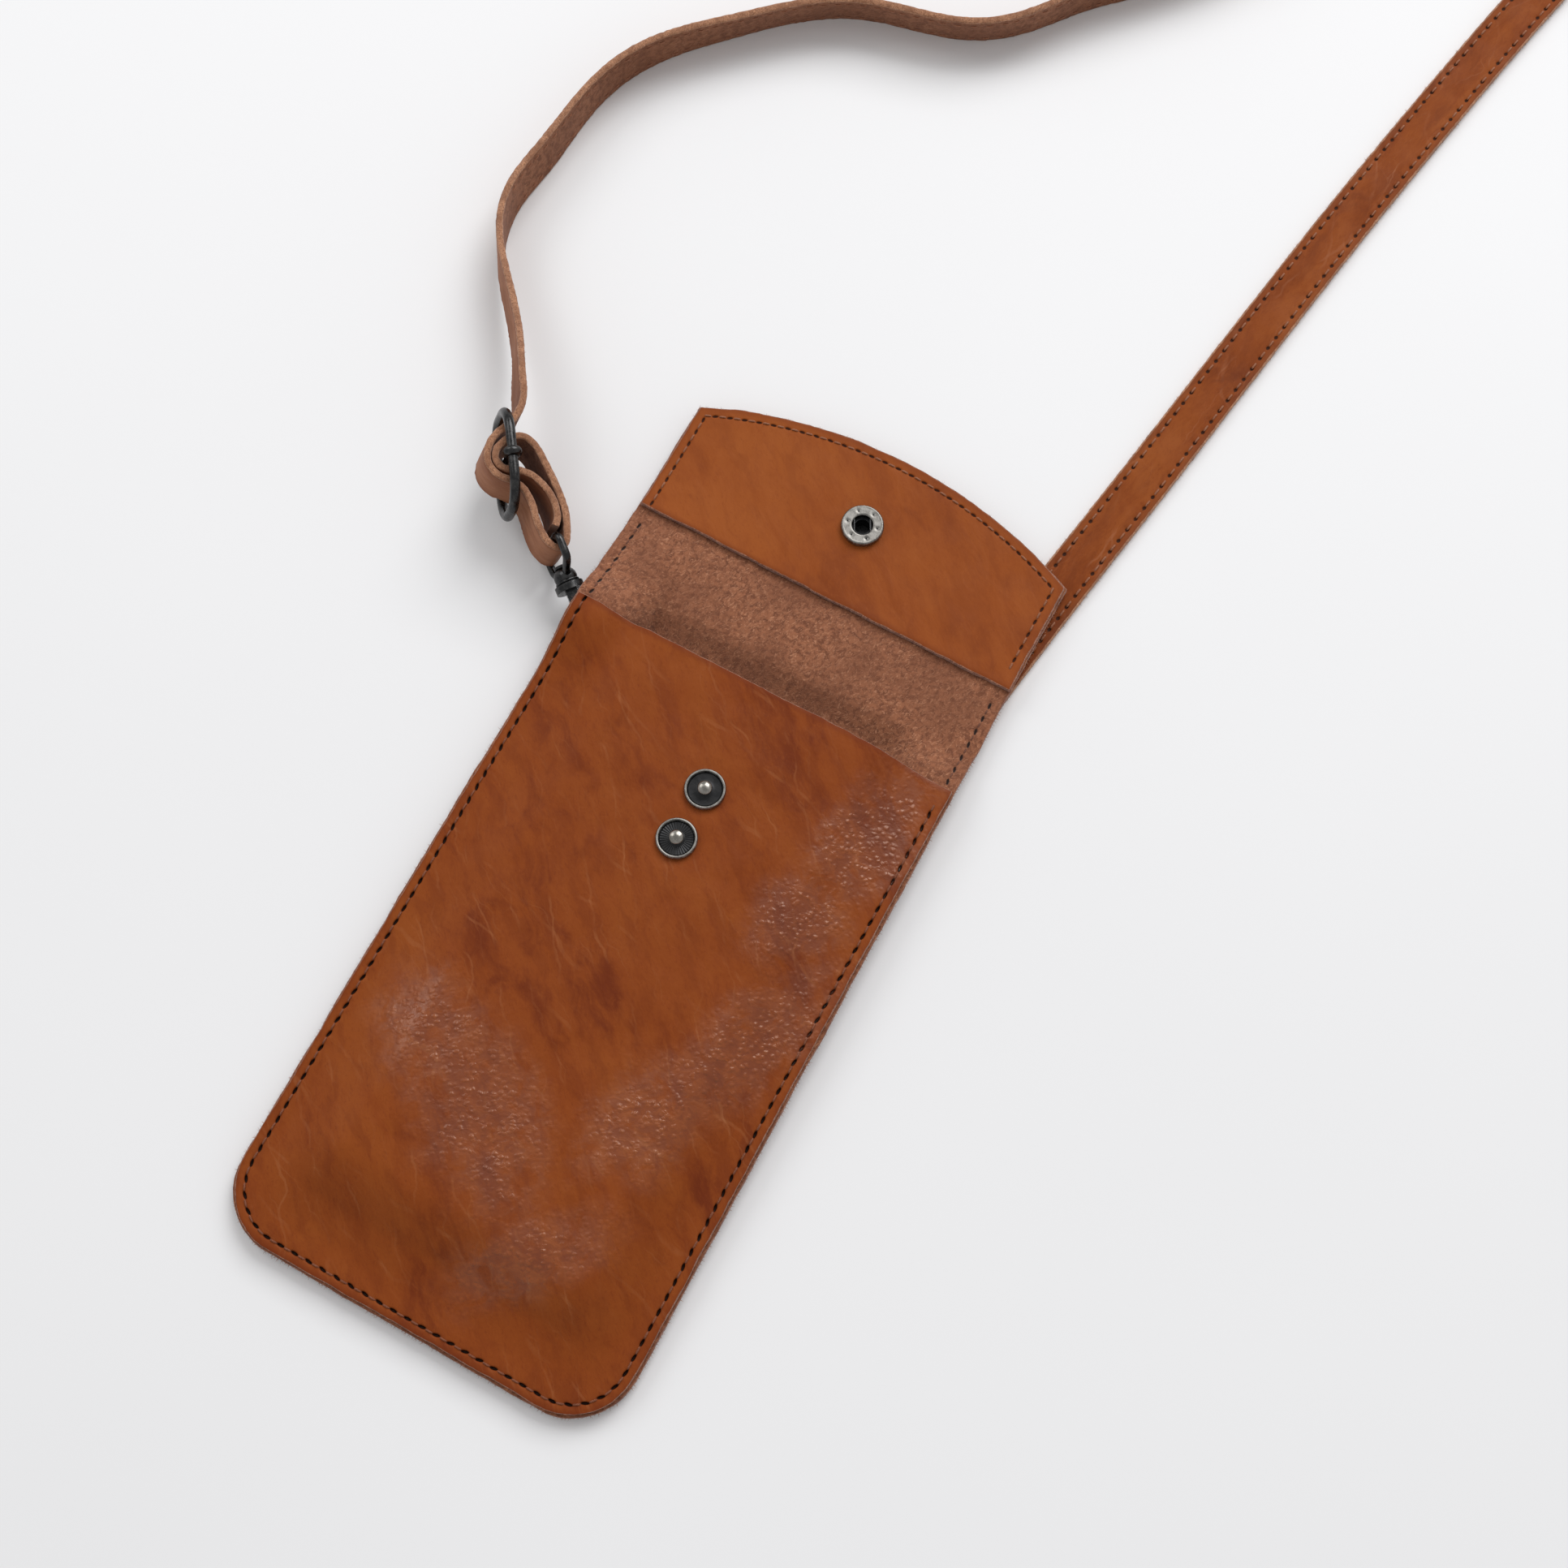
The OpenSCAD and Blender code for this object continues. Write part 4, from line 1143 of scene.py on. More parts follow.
class Finishes:
    """All materials of the pouch, made once."""

    def __init__(self) -> None:
        """Builds each material."""
        tan = {
            "dark": (0.145, 0.024, 0.005), "mid": (0.232, 0.0485, 0.0075), "light": (0.262, 0.061, 0.0098),
            "rubbed": (0.34, 0.115, 0.04),
        }
        self.front = GrainLeather(
            "front_grain", **tan,
            shiny=(
                Patch(43, 162, 34, 19, 75), Patch(37, 136, 24, 16, 60), Patch(42, 102, 44, 17, 68),
                Patch(29, 74, 32, 18, 60), Patch(-8, 54, 44, 23, -42), Patch(-30, 68, 26, 20, 0),
                Patch(20, 30, 34, 15, 50),
            ),
            deep=(
                Patch(-20, 137, 14, 7, 60), Patch(33, 134, 60, 25, 78), Patch(52, 66, 22, 9, 80),
                Patch(-24, 164, 44, 26, 80),
            ),
            pale=(Patch(-24, 12, 30, 12, 0), Patch(-42, 100, 34, 9, 80)),
        ).build()
        self.body = GrainLeather(
            "back_grain", **tan,
            shiny=(Patch(-30, 40, 30, 16, 60), Patch(28, 120, 34, 16, 70), Patch(0, 232, 34, 14, 10)),
            deep=(Patch(10, 70, 30, 12, 80), Patch(-34, 160, 20, 10, 60)),
            pale=(Patch(30, 30, 26, 16, 30),), wrinkle_h=0.1, roughness=(0.55, 0.38), level=(0.16, 0.28),
        ).build()
        self.lining = GrainLeather(
            "lining_grain",
            (0.2, 0.042, 0.008), (0.265, 0.061, 0.0105), (0.305, 0.077, 0.014), (0.34, 0.1, 0.03),
            # The long thin dark band along the lower edge is partly a darkened edge and partly painted
            # shadow; the two small dark patches are smudges.
            deep=(Patch(-50, 235, 9, 7, 20), Patch(53, 235, 9, 8, 0), Patch(0, 220, 60, 3, 0)),
            pale=(Patch(10, 235, 40, 14, 0),), pebble_h=0.02, crease_h=0.02, cloud=42.0, line_share=0.12,
            roughness=(0.58, 0.5), rim_share=0.65, pit_shade=(0.045, 0.013, 0.007),
        ).build()
        self.strap = GrainLeather(
            "strap_grain",
            (0.165, 0.053, 0.025), (0.272, 0.104, 0.051), (0.355, 0.152, 0.08), (0.4, 0.165, 0.085),
            far_from=(0.32, 0.85), pit_shade=(0.035, 0.011, 0.006),
            far=((0.15, 0.03, 0.006), (0.222, 0.049, 0.0085), (0.27, 0.068, 0.013)),
            pebble_h=0.06, crease_h=0.03, cloud=22.0, line_share=0.25, streak_turn=90, rim_share=0.4,
            roughness=(0.62, 0.5), level=(0.14, 0.4),
        ).build()
        self.suede = FleshLeather(
            "suede_flesh",
            (0.165, 0.057, 0.028), (0.312, 0.117, 0.056), (0.52, 0.24, 0.134), nap=0.12, tuft=1.6,
        ).build()
        self.strap_flesh = FleshLeather(
            "strap_flesh",
            (0.15, 0.05, 0.021), (0.27, 0.104, 0.047), (0.36, 0.165, 0.09), nap=0.08, sheen=0.08,
        ).build()
        self.cut = CutLeather("cut_edge", (0.17, 0.056, 0.032), (0.46, 0.215, 0.135)).build()
        self.strap_cut = CutLeather("strap_cut_edge", (0.24, 0.095, 0.044), (0.56, 0.28, 0.155)).build()
        self.seam = Thread("seam_thread", (0.135, 0.042, 0.02), (0.27, 0.095, 0.05)).build()
        self.neck = Thread("neck_thread", (0.09, 0.035, 0.022), (0.2, 0.08, 0.05)).build()
        self.pale = Thread("pale_thread", (0.2, 0.072, 0.035), (0.36, 0.15, 0.082)).build()
        self.fibre = Thread("edge_fibre", (0.28, 0.11, 0.06), (0.46, 0.22, 0.13)).build()
        self.gunmetal = Metal("gunmetal", (0.04, 0.04, 0.041), (0.18, 0.175, 0.168), 0.24, 0.2).build()
        # Painted shade: a darker copy of the metal for hollows: the stud dish, the socket's chamber and
        # dimples, and the rivet's bore.
        self.recess_shade = Metal("recess_shade_metal", (0.03, 0.03, 0.031), (0.07, 0.07, 0.07), 0.42, 0.2).build()
        self.nickel = Metal("antique_nickel", (0.21, 0.2, 0.185), (0.4, 0.385, 0.36), 0.36, 0.5).build()
        # Painted highlight: a lighter, glossier copy of the nickel for the tops of the stud balls.
        self.bright = Metal("lit_ball_metal", (0.25, 0.235, 0.21), (0.5, 0.47, 0.43), 0.22, 0.6).build()
        self.steel = Metal("spring_steel", (0.45, 0.45, 0.45), (0.62, 0.62, 0.62), 0.25, 0.3).build()


def leather_grid(name: str, columns: int, rows: int) -> Piece:
    """Adds a flat grid from -1 to 1 that becomes a piece of leather."""
    deselect()
    bpy.ops.mesh.primitive_grid_add(x_subdivisions=columns, y_subdivisions=rows, size=2)
    return newly_made(name)


def lay(piece: Piece, flat: Array, gap: Array, co: Array) -> None:
    """Lays a grid out as a sheet of leather that has no holes yet.

    Args:
        piece: the grid.
        flat: places across and along the flat sheet, in millimetres.
        gap: distance of each place from the edge, in millimetres.
        co: places in the row frame, in millimetres.
    """
    zero = np.zeros(len(gap))
    set_values(piece, PLACE, np.column_stack([flat, zero]) * MM)
    set_values(piece, EDGE, gap)
    set_values(piece, PIT_SHADE, zero)
    set_points(piece, co * MM)
    dress(piece, None, None, None)


def thicken(piece: Piece, thickness: float, up: Face, down: Face) -> None:
    """Gives a sheet its thickness in millimetres downwards, with its sides in their slots."""
    modify(
        piece, "SOLIDIFY", thickness=thickness * MM, offset=-1, use_quality_normals=True,
        material_offset=down.value - up.value, material_offset_rim=Face.CUT.value - up.value,
    )


def fray(piece: Piece, reach: float, shift: Callable[[Array], Array]) -> None:
    """Shifts the points of a piece that lie within a reach of its edge, in millimetres."""
    near = np.flatnonzero(values_of(piece, EDGE) < reach)
    co = points_of(piece)
    co[near] += shift(co[near] / MM) * MM
    set_points(piece, co)


@dataclass
class Skin:
    """A panel of leather shaped from a flat grid, with a thickness and stitch holes."""

    form: PouchForm
    name: str
    height: Height
    start: float
    end: float | None
    thickness: float
    inset: float = 0.0
    cell: float = 1.5
    grain_up: bool = True
    round_edge: float = 0.35
    seed: float = 1.0
    ragged: float = 0.26

    def flat(self, u: Array, v: Array) -> tuple[Array, Array, Array]:
        """Spreads a square over the flat outline of the panel.

        Args:
            u: place across the square, from -1 to 1.
            v: place along the square, from -1 to 1.

        Returns:
            Places across and along the panel, and the height of its upper edge there.
        """
        f, d = self.form, self.inset
        half, r = f.half - d, f.corner_r - d
        x = u * half
        top = f.reach_up(x, d) if self.end is None else np.full_like(x, self.end)
        bottom = max(self.start, d)
        level = f.length - d if self.end is None else self.end
        y = bottom + (v + 1) / 2 * (level - bottom)
        over = ease(np.clip((y - self.bend_from) / (level - self.bend_from), 0, 1)) if self.end is None else 0
        y = y + over * (top - level)
        if self.start <= 0:
            cx = np.clip((np.abs(x) - (half - r)) / r, 0, 1)
            cy = np.clip((r + d - y) / r, 0, 1)
            nx, ny = cx * np.sqrt(1 - cy**2 / 2), cy * np.sqrt(1 - cx**2 / 2)
            x = np.where(cx > 0, np.sign(x) * (half - r + r * nx), x)
            y = np.where(cy > 0, d + r - r * ny, y)
        return x, y, top

    @property
    def bend_from(self) -> float:
        """Height above which the rows of a panel with a curved end begin to bend."""
        return max(self.start, self.form.fold)

    def build(self) -> Piece:
        """Makes the panel."""
        f = self.form
        long = (f.length if self.end is None else self.end) - self.start
        piece = leather_grid(self.name, round(f.width / self.cell), round(long / self.cell))
        uv = points_of(piece)
        x, y, top = self.flat(uv[:, 0], uv[:, 1])
        gap = np.minimum(f.edge_gap(x, y, top), (1 - np.abs(uv[:, 1])) * long / 2)
        co = np.column_stack([x, f.row_y(y), self.height(x, y)])
        lay(piece, np.column_stack([x, y]), np.clip(gap, 0, 30), co)
        up, down = (Face.GRAIN, Face.FLESH) if self.grain_up else (Face.FLESH, Face.GRAIN)
        set_slots(piece, np.full(len(piece.data.polygons), up.value))
        thicken(piece, self.thickness, up, down)
        self.fix_slots(piece, up, down)
        bevel(piece, self.round_edge, 60, material=Face.CUT.value)
        fray(piece, 1.2, self.worn)
        return piece

    def fix_slots(self, piece: Piece, up: Face, down: Face) -> None:
        """Sets the side of each face by the way it looks, and the rim as the cut edge."""
        faces = piece.data.polygons
        gaps = values_of(piece, EDGE)
        rim = np.array([all(gaps[v] < 1e-3 for v in face.vertices) for face in faces])
        side = np.where(read(faces, "normal", 3)[:, 2] > 0, up.value, down.value)
        set_slots(piece, np.where(rim, Face.CUT.value, side))

    def worn(self, spots: Array) -> Array:
        """Small and slow shifts of places near the cut edge, in millimetres."""
        fine = np.stack([rough(spots, 0.9, self.seed + k) for k in range(3)], 1)
        slow = np.stack([rough(spots, 9.0, self.seed + 5 + k) for k in range(2)] + [np.zeros(len(spots))], 1)
        return fine * (0.5, 0.5, 0.25) * self.ragged + slow * self.ragged


@dataclass(frozen=True)
class Seam:
    """A row of stitches along a path over a panel."""

    path: Array
    pitch: float = 4.1
    tilt: float = 14.0

    def at(self, offset: float) -> Array:
        """Places of the seam a pitch apart, as x, y and direction in radians.

        Args:
            offset: share of a pitch before the first place.

        Returns:
            One row for each place.
        """
        run = run_along(self.path)
        count = int(run[-1] / self.pitch - offset)
        s = (np.arange(count) + offset) * self.pitch
        reach = 0.6
        here, ahead, behind = (
            np.column_stack([np.interp(np.clip(s + d, 0, run[-1]), run, self.path[:, k]) for k in (0, 1)])
            for d in (0, reach, -reach)
        )
        turn = np.arctan2(ahead[:, 1] - behind[:, 1], ahead[:, 0] - behind[:, 0])
        return np.column_stack([here, turn])

    def holes(self) -> Array:
        """Stitch holes as x and y in metres and direction, slanted to the seam."""
        spots = self.at(0.0)
        sway = np.sin(spots[:, 0] * 0.09 + spots[:, 1] * 0.05)
        spots[:, 2] += np.radians(self.tilt) * sway
        spots[:, :2] *= MM
        return spots


def unit_ball(segments: int, rings: int) -> Piece:
    """Adds a ball of radius 1 at the origin."""
    deselect()
    bpy.ops.mesh.primitive_uv_sphere_add(segments=segments, ring_count=rings, radius=1)
    return bpy.context.active_object


@dataclass(frozen=True)
class StitchBar:
    """One stitch: a plump twisted bar whose ends dive into the leather."""

    length: float = 2.3
    width: float = 0.62
    height: float = 0.5
    dive: float = 0.42

    def build(self) -> bmesh.types.BMesh:
        """Makes the stitch along x, lying on z = 0, in metres."""
        piece = unit_ball(8, 7)
        co = points_of(piece)
        along = co[:, 2].copy()
        turn = np.arctan2(co[:, 1], co[:, 0])
        girth = np.sqrt(np.clip(1 - along**4, 0, 1)) / np.maximum(np.sqrt(1 - along**2), 1e-6)
        girth = np.where(np.abs(along) > 0.999, 1, girth)
        twist = 1 + 0.13 * np.cos(2 * turn + along * 6)
        x = along * self.length / 2
        y = co[:, 1] * girth * twist * self.width / 2
        z = co[:, 0] * girth * twist * self.height / 2 + self.height * 0.35 - self.dive * along**4
        set_points(piece, np.stack([x, y, z], 1) * MM)
        made = bmesh.new()
        made.from_mesh(piece.data)
        bmesh.ops.recalc_face_normals(made, faces=made.faces)
        bpy.data.objects.remove(piece)
        return made


@dataclass(frozen=True)
class FibreTuft:
    """A few short bent fibres that stand off a raw edge, along x."""

    count: int = 3
    length: float = 0.95
    radius: float = 0.045

    def build(self) -> bmesh.types.BMesh:
        """Makes the tuft with its root at the origin, in metres."""
        made = bmesh.new()
        for k in range(self.count):
            piece = unit_ball(3, 5)
            co = points_of(piece)
            t = (co[:, 2] + 1) / 2
            reach = self.length * (1 - 0.22 * k)
            lean = (-0.5, 0.45, 0.05)[k % 3]
            bend = 0.5 * t**2
            girth = self.radius * (1 - 0.6 * t)
            x = (t - 0.12) * reach
            y = co[:, 0] * girth + reach * (lean * t + bend * (0.4 - 0.3 * k))
            z = co[:, 1] * girth + reach * bend * (0.35 * (k - 1))
            set_points(piece, np.stack([x, y, z], 1) * MM)
            made.from_mesh(piece.data)
            bpy.data.objects.remove(piece)
        bmesh.ops.recalc_face_normals(made, faces=made.faces)
        return made


def tuft_frames(roots: Array, outs: Array, seed: int) -> list[Matrix]:
    """Frames of tufts of uneven size that stand off an edge.

    Args:
        roots: places of the roots in millimetres of the row frame, one row each.
        outs: unit vectors that point off the edge, one row each.
        seed: number that picks the random sizes.

    Returns:
        One matrix for each tuft, in metres.
    """
    picks = np.random.default_rng(seed)
    frames = []
    for root, out in zip(roots, outs):
        size, turn = picks.uniform(0.45, 1.25), picks.uniform(0, 2 * math.pi)
        lean = Vector(out) + Vector(picks.uniform(-0.45, 0.45, 3))
        upright = lean.to_track_quat("X", "Z").to_matrix().to_4x4()
        place = Matrix.Translation(Vector(root) * MM) @ upright
        frames.append(place @ Matrix.Rotation(turn, 4, "X") @ Matrix.Scale(size, 4))
    return frames


def sew(name: str, frames: Iterable[Matrix], bar: StitchBar | FibreTuft, material: Material) -> Piece:
    """Copies one stitch or tuft to many places as one piece.

    Args:
        name: name of the piece.
        frames: place of each stitch, x along it and z out of the leather.
        bar: the stitch or the tuft.
        material: its finish.

    Returns:
        The piece.
    """
    model = bar.build()
    mesh = bpy.data.meshes.new(name)
    model.to_mesh(mesh)
    made = bmesh.new()
    for frame in frames:
        before = len(made.verts)
        made.from_mesh(mesh)
        made.verts.ensure_lookup_table()
        bmesh.ops.transform(made, matrix=frame, verts=made.verts[before:])
    made.to_mesh(mesh)
    made.free()
    model.free()
    piece = bpy.data.objects.new(name, mesh)
    bpy.context.scene.collection.objects.link(piece)
    smooth(piece, 80)
    dress(piece, material)
    return piece


def rest_on_table(piece: Piece, least: float = 0.02) -> None:
    """Presses what reaches below the table flat upon it; least is its height in millimetres."""
    co = points_of(piece)
    co[:, 2] = np.maximum(co[:, 2], least * MM)
    set_points(piece, co)


def surface_frames(form: PouchForm, height: Height, spots: Array, below: bool = False) -> list[Matrix]:
    """Frames that lie on a surface at some places.

    Args:
        form: form of the pouch.
        height: height of the surface over the table.
        spots: places as x, y in millimetres and direction in radians.
        below: whether the frames look down, for a surface seen from below.

    Returns:
        One matrix for each place, in metres of the row frame.
    """
    frames = []
    for x, y, turn in spots:
        t = np.array([math.cos(turn), math.sin(turn)])
        d = 0.8
        xs, ys = np.array([x - t[0] * d, x + t[0] * d, x]), np.array([y - t[1] * d, y + t[1] * d, y])
        z = height(xs, ys)
        along = Vector((t[0] * 2 * d, t[1] * 2 * d, float(z[1] - z[0]))).normalized()
        side = Vector((-t[1], t[0], 0))
        out = along.cross(side).normalized()
        if below:
            side, out = -side, -out
        place = Vector((x, float(form.row_y(y)), float(z[2]))) * MM
        frames.append(framed(place, along, side, out))
    return frames


@dataclass
class Pocket:
    """Back panel with the flap, front panel, lining and their seams."""

    form: PouchForm
    finishes: Finishes
    front_inset: float = 0.8
    rivet_hole: float = 3.0

    def front_height(self, x: Array, y: Array) -> Array:
        """Top of the front panel with its soft swells, creases and the pull of the studs."""
        f = self.form
        top = np.full_like(x, f.pocket + 30)
        free = ease((f.edge_gap(x, y, top) - 5) / 14)
        place = np.stack([x, y, np.zeros_like(x)], 1)
        stud = np.minimum(np.hypot(x, y - f.upper_stud_y), np.hypot(x, y - f.lower_stud_y))
        calm = ease((stud - 5.2) / 9)
        swell = 0.75 * rough(place * (1, 0.7, 1), 42, 3.0)
        small = 0.3 * rough(place * (1, 0.55, 1), 9, 8.0)
        crease = -0.2 * ridges(place, 21, 4.4, Axis.ALONG) - 0.12 * ridges(place, 11, 9.1, Axis.EVEN)
        dent = -0.28 * np.exp(-(((stud - 6.2) / 1.6) ** 2))
        return f.front(x, y) + free * calm * (swell + small + crease) + dent * free

    def back_height(self, x: Array, y: Array) -> Array:
        """Upper side of the back panel and the flap, with slight waves in the suede band."""
        place = np.stack([x, y, np.zeros_like(x)], 1)
        away = ease((y - self.form.pocket) / 10) * (1 - ease((y - self.form.lining_start + 6) / 8))
        return self.form.inner(x, y) + 0.12 * away * rough(place, 16, 6.0)

    def lining_height(self, x: Array, y: Array) -> Array:
        """Upper side of the lining with slight waves, and its lower edge a little up."""
        f = self.form
        place = np.stack([x, y, np.zeros_like(x)], 1)
        snap = ease((np.hypot(x, y - f.socket_y) - 6) / 8)
        wave = 0.16 * rough(place, 26, 12.0) * ease(f.edge_gap(x, y, f.reach_up(x)) / 10) * snap
        lip = 0.12 * np.exp(-(((y - f.lining_start) / 2.5) ** 2))
        return f.liner(x, y) + wave + lip

    def seam_path(self) -> Array:
        """Seam of the pocket, from the left of the mouth round the bottom to the right."""
        f = self.form
        side, r = f.half - f.seam_inset, f.corner_r - f.seam_inset
        turns = np.radians(np.linspace(0, 90, 14))
        path = [(-side, f.pocket - 1.0), (-side, f.corner_r)]
        path += [(-(side - r) - r * math.cos(a), f.corner_r - r * math.sin(a)) for a in turns[1:]]
        path += [(-x, y) for x, y in reversed(path)]
        return np.array(path)

    def neck_paths(self) -> list[Array]:
        """Seams that run on up the suede band beside the mouth."""
        f = self.form
        x = f.half - f.seam_inset
        return [np.array([(s * x, f.pocket + 2.4), (s * x, f.lining_start - 0.8)]) for s in (-1, 1)]

    def lining_path(self) -> Array:
        """Seam of the lining: up the left side, along the curved end and down the right."""
        f = self.form
        x = f.half - f.seam_inset
        xs = np.linspace(-x, x, 60)
        arc = np.column_stack([xs, f.reach_up(xs, f.seam_inset)])
        return np.vstack([[(-x, f.lining_start + 1.5)], arc, [(x, f.lining_start + 1.5)]])

    def bend(self, piece: Piece) -> None:
        """Bakes a piece's placement into its mesh; the stretch of the neck where it would bend is worked out
        but not used.
        """
        y = float(self.form.row_y(self.form.fold))
        reach = self.form.neck - self.form.leather / 2
        z = self.form.flap_z
        start, end = (0, (y - reach) * MM, z * MM), (0, (y + reach) * MM, z * MM)
        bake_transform(piece)
        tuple(start)
        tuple(end)

    def back(self) -> Piece:
        """Makes the leather of the back panel and the flap, which is one piece."""
        f, finishes = self.form, self.finishes
        skin = Skin(f, "back_and_flap_leather", self.back_height, 0, None, f.leather, grain_up=False, seed=2)
        piece = skin.build()
        for path in self.neck_paths():
            holes = Seam(path).holes()
            refine(piece, Face.FLESH, holes[:, :2], 2.2 * MM, 1)
            rest_on_table(piece, 0.0)
            punch(piece, Face.FLESH, holes, 0.34 * MM, 0.95 * MM, 0.5 * MM)
        bore(piece, (0.0, f.socket_y * MM), self.rivet_hole * MM)
        finish_leather(piece, finishes.body, finishes.suede, finishes.cut)
        hand_over(piece, "body_leather", "back_panel", "flap_panel")
        self.bend(piece)
        return piece

    def front(self) -> Piece:
        """Makes the front panel, crowned, creased and sewn at its edge."""
        f, finishes = self.form, self.finishes
        skin = Skin(
            f, "front_leather", self.front_height, 0, f.pocket, f.leather,
            inset=self.front_inset, seed=4, cell=1.3,
        )
        piece = skin.build()
        seam = Seam(self.seam_path())
        refine(piece, Face.GRAIN, seam.at(0.0)[:, :2] * MM, 2.9 * MM, 1)
        punch(piece, Face.GRAIN, seam.holes(), 0.36 * MM, 1.02 * MM, 0.85 * MM)
        finish_leather(piece, finishes.front, finishes.suede, finishes.cut)
        hand_over(piece, "body_leather", "front_panel", body="pouch")
        return piece

    def lining(self) -> Piece:
        """Makes the lining of the flap."""
        f, finishes = self.form, self.finishes
        skin = Skin(
            f, "flap_lining_leather", self.lining_height, f.lining_start, None, f.lining,
            inset=f.lining_inset, seed=6, cell=1.3,
        )
        piece = skin.build()
        seam = Seam(self.lining_path(), tilt=8)
        refine(piece, Face.GRAIN, seam.at(0.0)[:, :2] * MM, 2.9 * MM, 1)
        punch(piece, Face.GRAIN, seam.holes(), 0.33 * MM, 0.8 * MM, 0.5 * MM)
        bore(piece, (0.0, f.socket_y * MM), self.rivet_hole * MM)
        finish_leather(piece, finishes.lining, finishes.suede, finishes.cut)
        hand_over(piece, "lining_leather", "flap_lining", body="flap")
        return piece

    def outline(self, inset: float, low_only: bool, step: float) -> tuple[Array, Array]:
        """Points a step apart along the outline, and the directions that point off it.

        Args:
            inset: distance inside the outline of the back panel.
            low_only: whether to stop at the mouth of the pocket.
            step: distance of the points.

        Returns:
            Flat places and flat unit vectors.
        """
        f = self.form
        half, r = f.half - inset, f.corner_r - inset
        turns = np.radians(np.linspace(0, 90, 16))
        arc = np.column_stack([-(half - r) - r * np.cos(turns), f.corner_r - r * np.sin(turns)])
        upper = f.pocket - 1 if low_only else f.corner
        left = np.vstack([[(-half, upper)], arc])
        path = np.vstack([left, (left * (-1, 1))[::-1]])
        if not low_only:
            xs = np.linspace(half, -half, 60)
            path = np.vstack([path, np.column_stack([xs, f.reach_up(xs, inset)])])
        path = even(np.column_stack([path, np.zeros(len(path))]), step)[:, :2]
        along = np.gradient(path, axis=0)
        return path, units(np.column_stack([along[:, 1], -along[:, 0]]))

    def fuzz(self) -> list[Piece]:
        """Makes the short fibres that stand off the raw edges of the panels."""
        f = self.form
        picks = np.random.default_rng(8)
        made = []
        for name, inset, is_front, step in (
            ("back_edge_fibres", 0.1, False, 1.0), ("front_edge_fibres", 0.9, True, 1.5)
        ):
            path, out = self.outline(inset, is_front, step)
            share = picks.uniform(0.15, 0.9, len(path)) * f.leather
            x, y = path.T
            z = f.front(x, y) - share if is_front else f.back(x, y) + share
            roots = np.column_stack([x, f.row_y(y), z])
            outs = np.column_stack([out, np.zeros(len(out))])
            piece = sew(name, tuft_frames(roots, outs, 3), FibreTuft(), self.finishes.fibre)
            rest_on_table(piece)
            hand_over(piece, "body_leather", body="pouch" if is_front else "")
            if not is_front:
                self.bend(piece)
            made.append(piece)
        return made

    def both_sides(self, seam: Seam, top: Height) -> list[Matrix]:
        """Frames of the stitches of a seam, on top and under the back panel."""
        f, spots = self.form, seam.at(0.5)
        return surface_frames(f, top, spots) + surface_frames(f, f.back, spots, below=True)

    def threads(self) -> list[Piece]:
        """Sews the seams of the pocket, the lining and the neck."""
        frames = self.both_sides(Seam(self.seam_path()), lambda x, y: self.front_height(x, y) - 0.02)
        pocket = sew("pocket_seam_thread", frames, StitchBar(2.15, 0.5, 0.36), self.finishes.seam)
        hand_over(pocket, "thread", "pocket_thread", body="pouch")
        frames = self.both_sides(Seam(self.lining_path()), self.lining_height)
        lining = sew("lining_seam_thread", frames, StitchBar(2.2, 0.55, 0.42), self.finishes.pale)
        hand_over(lining, "pale_thread", "lining_thread", body="flap")
        frames = [m for path in self.neck_paths() for m in self.both_sides(Seam(path), self.form.inner)]
        neck = sew("neck_seam_thread", frames, StitchBar(1.9, 0.42, 0.22), self.finishes.neck)
        hand_over(neck, "thread")
        self.bend(neck)
        return [pocket, lining, neck]

    def build(self) -> list[Piece]:
        """Makes the whole pocket."""
        return [self.back(), self.front(), self.lining(), *self.threads(), *self.fuzz()]


def polar(places: Array) -> tuple[Array, Array]:
    """Distance from the z axis in millimetres and direction about it, of places in metres."""
    return np.hypot(places[:, 0], places[:, 1]) / MM, np.arctan2(places[:, 1], places[:, 0])


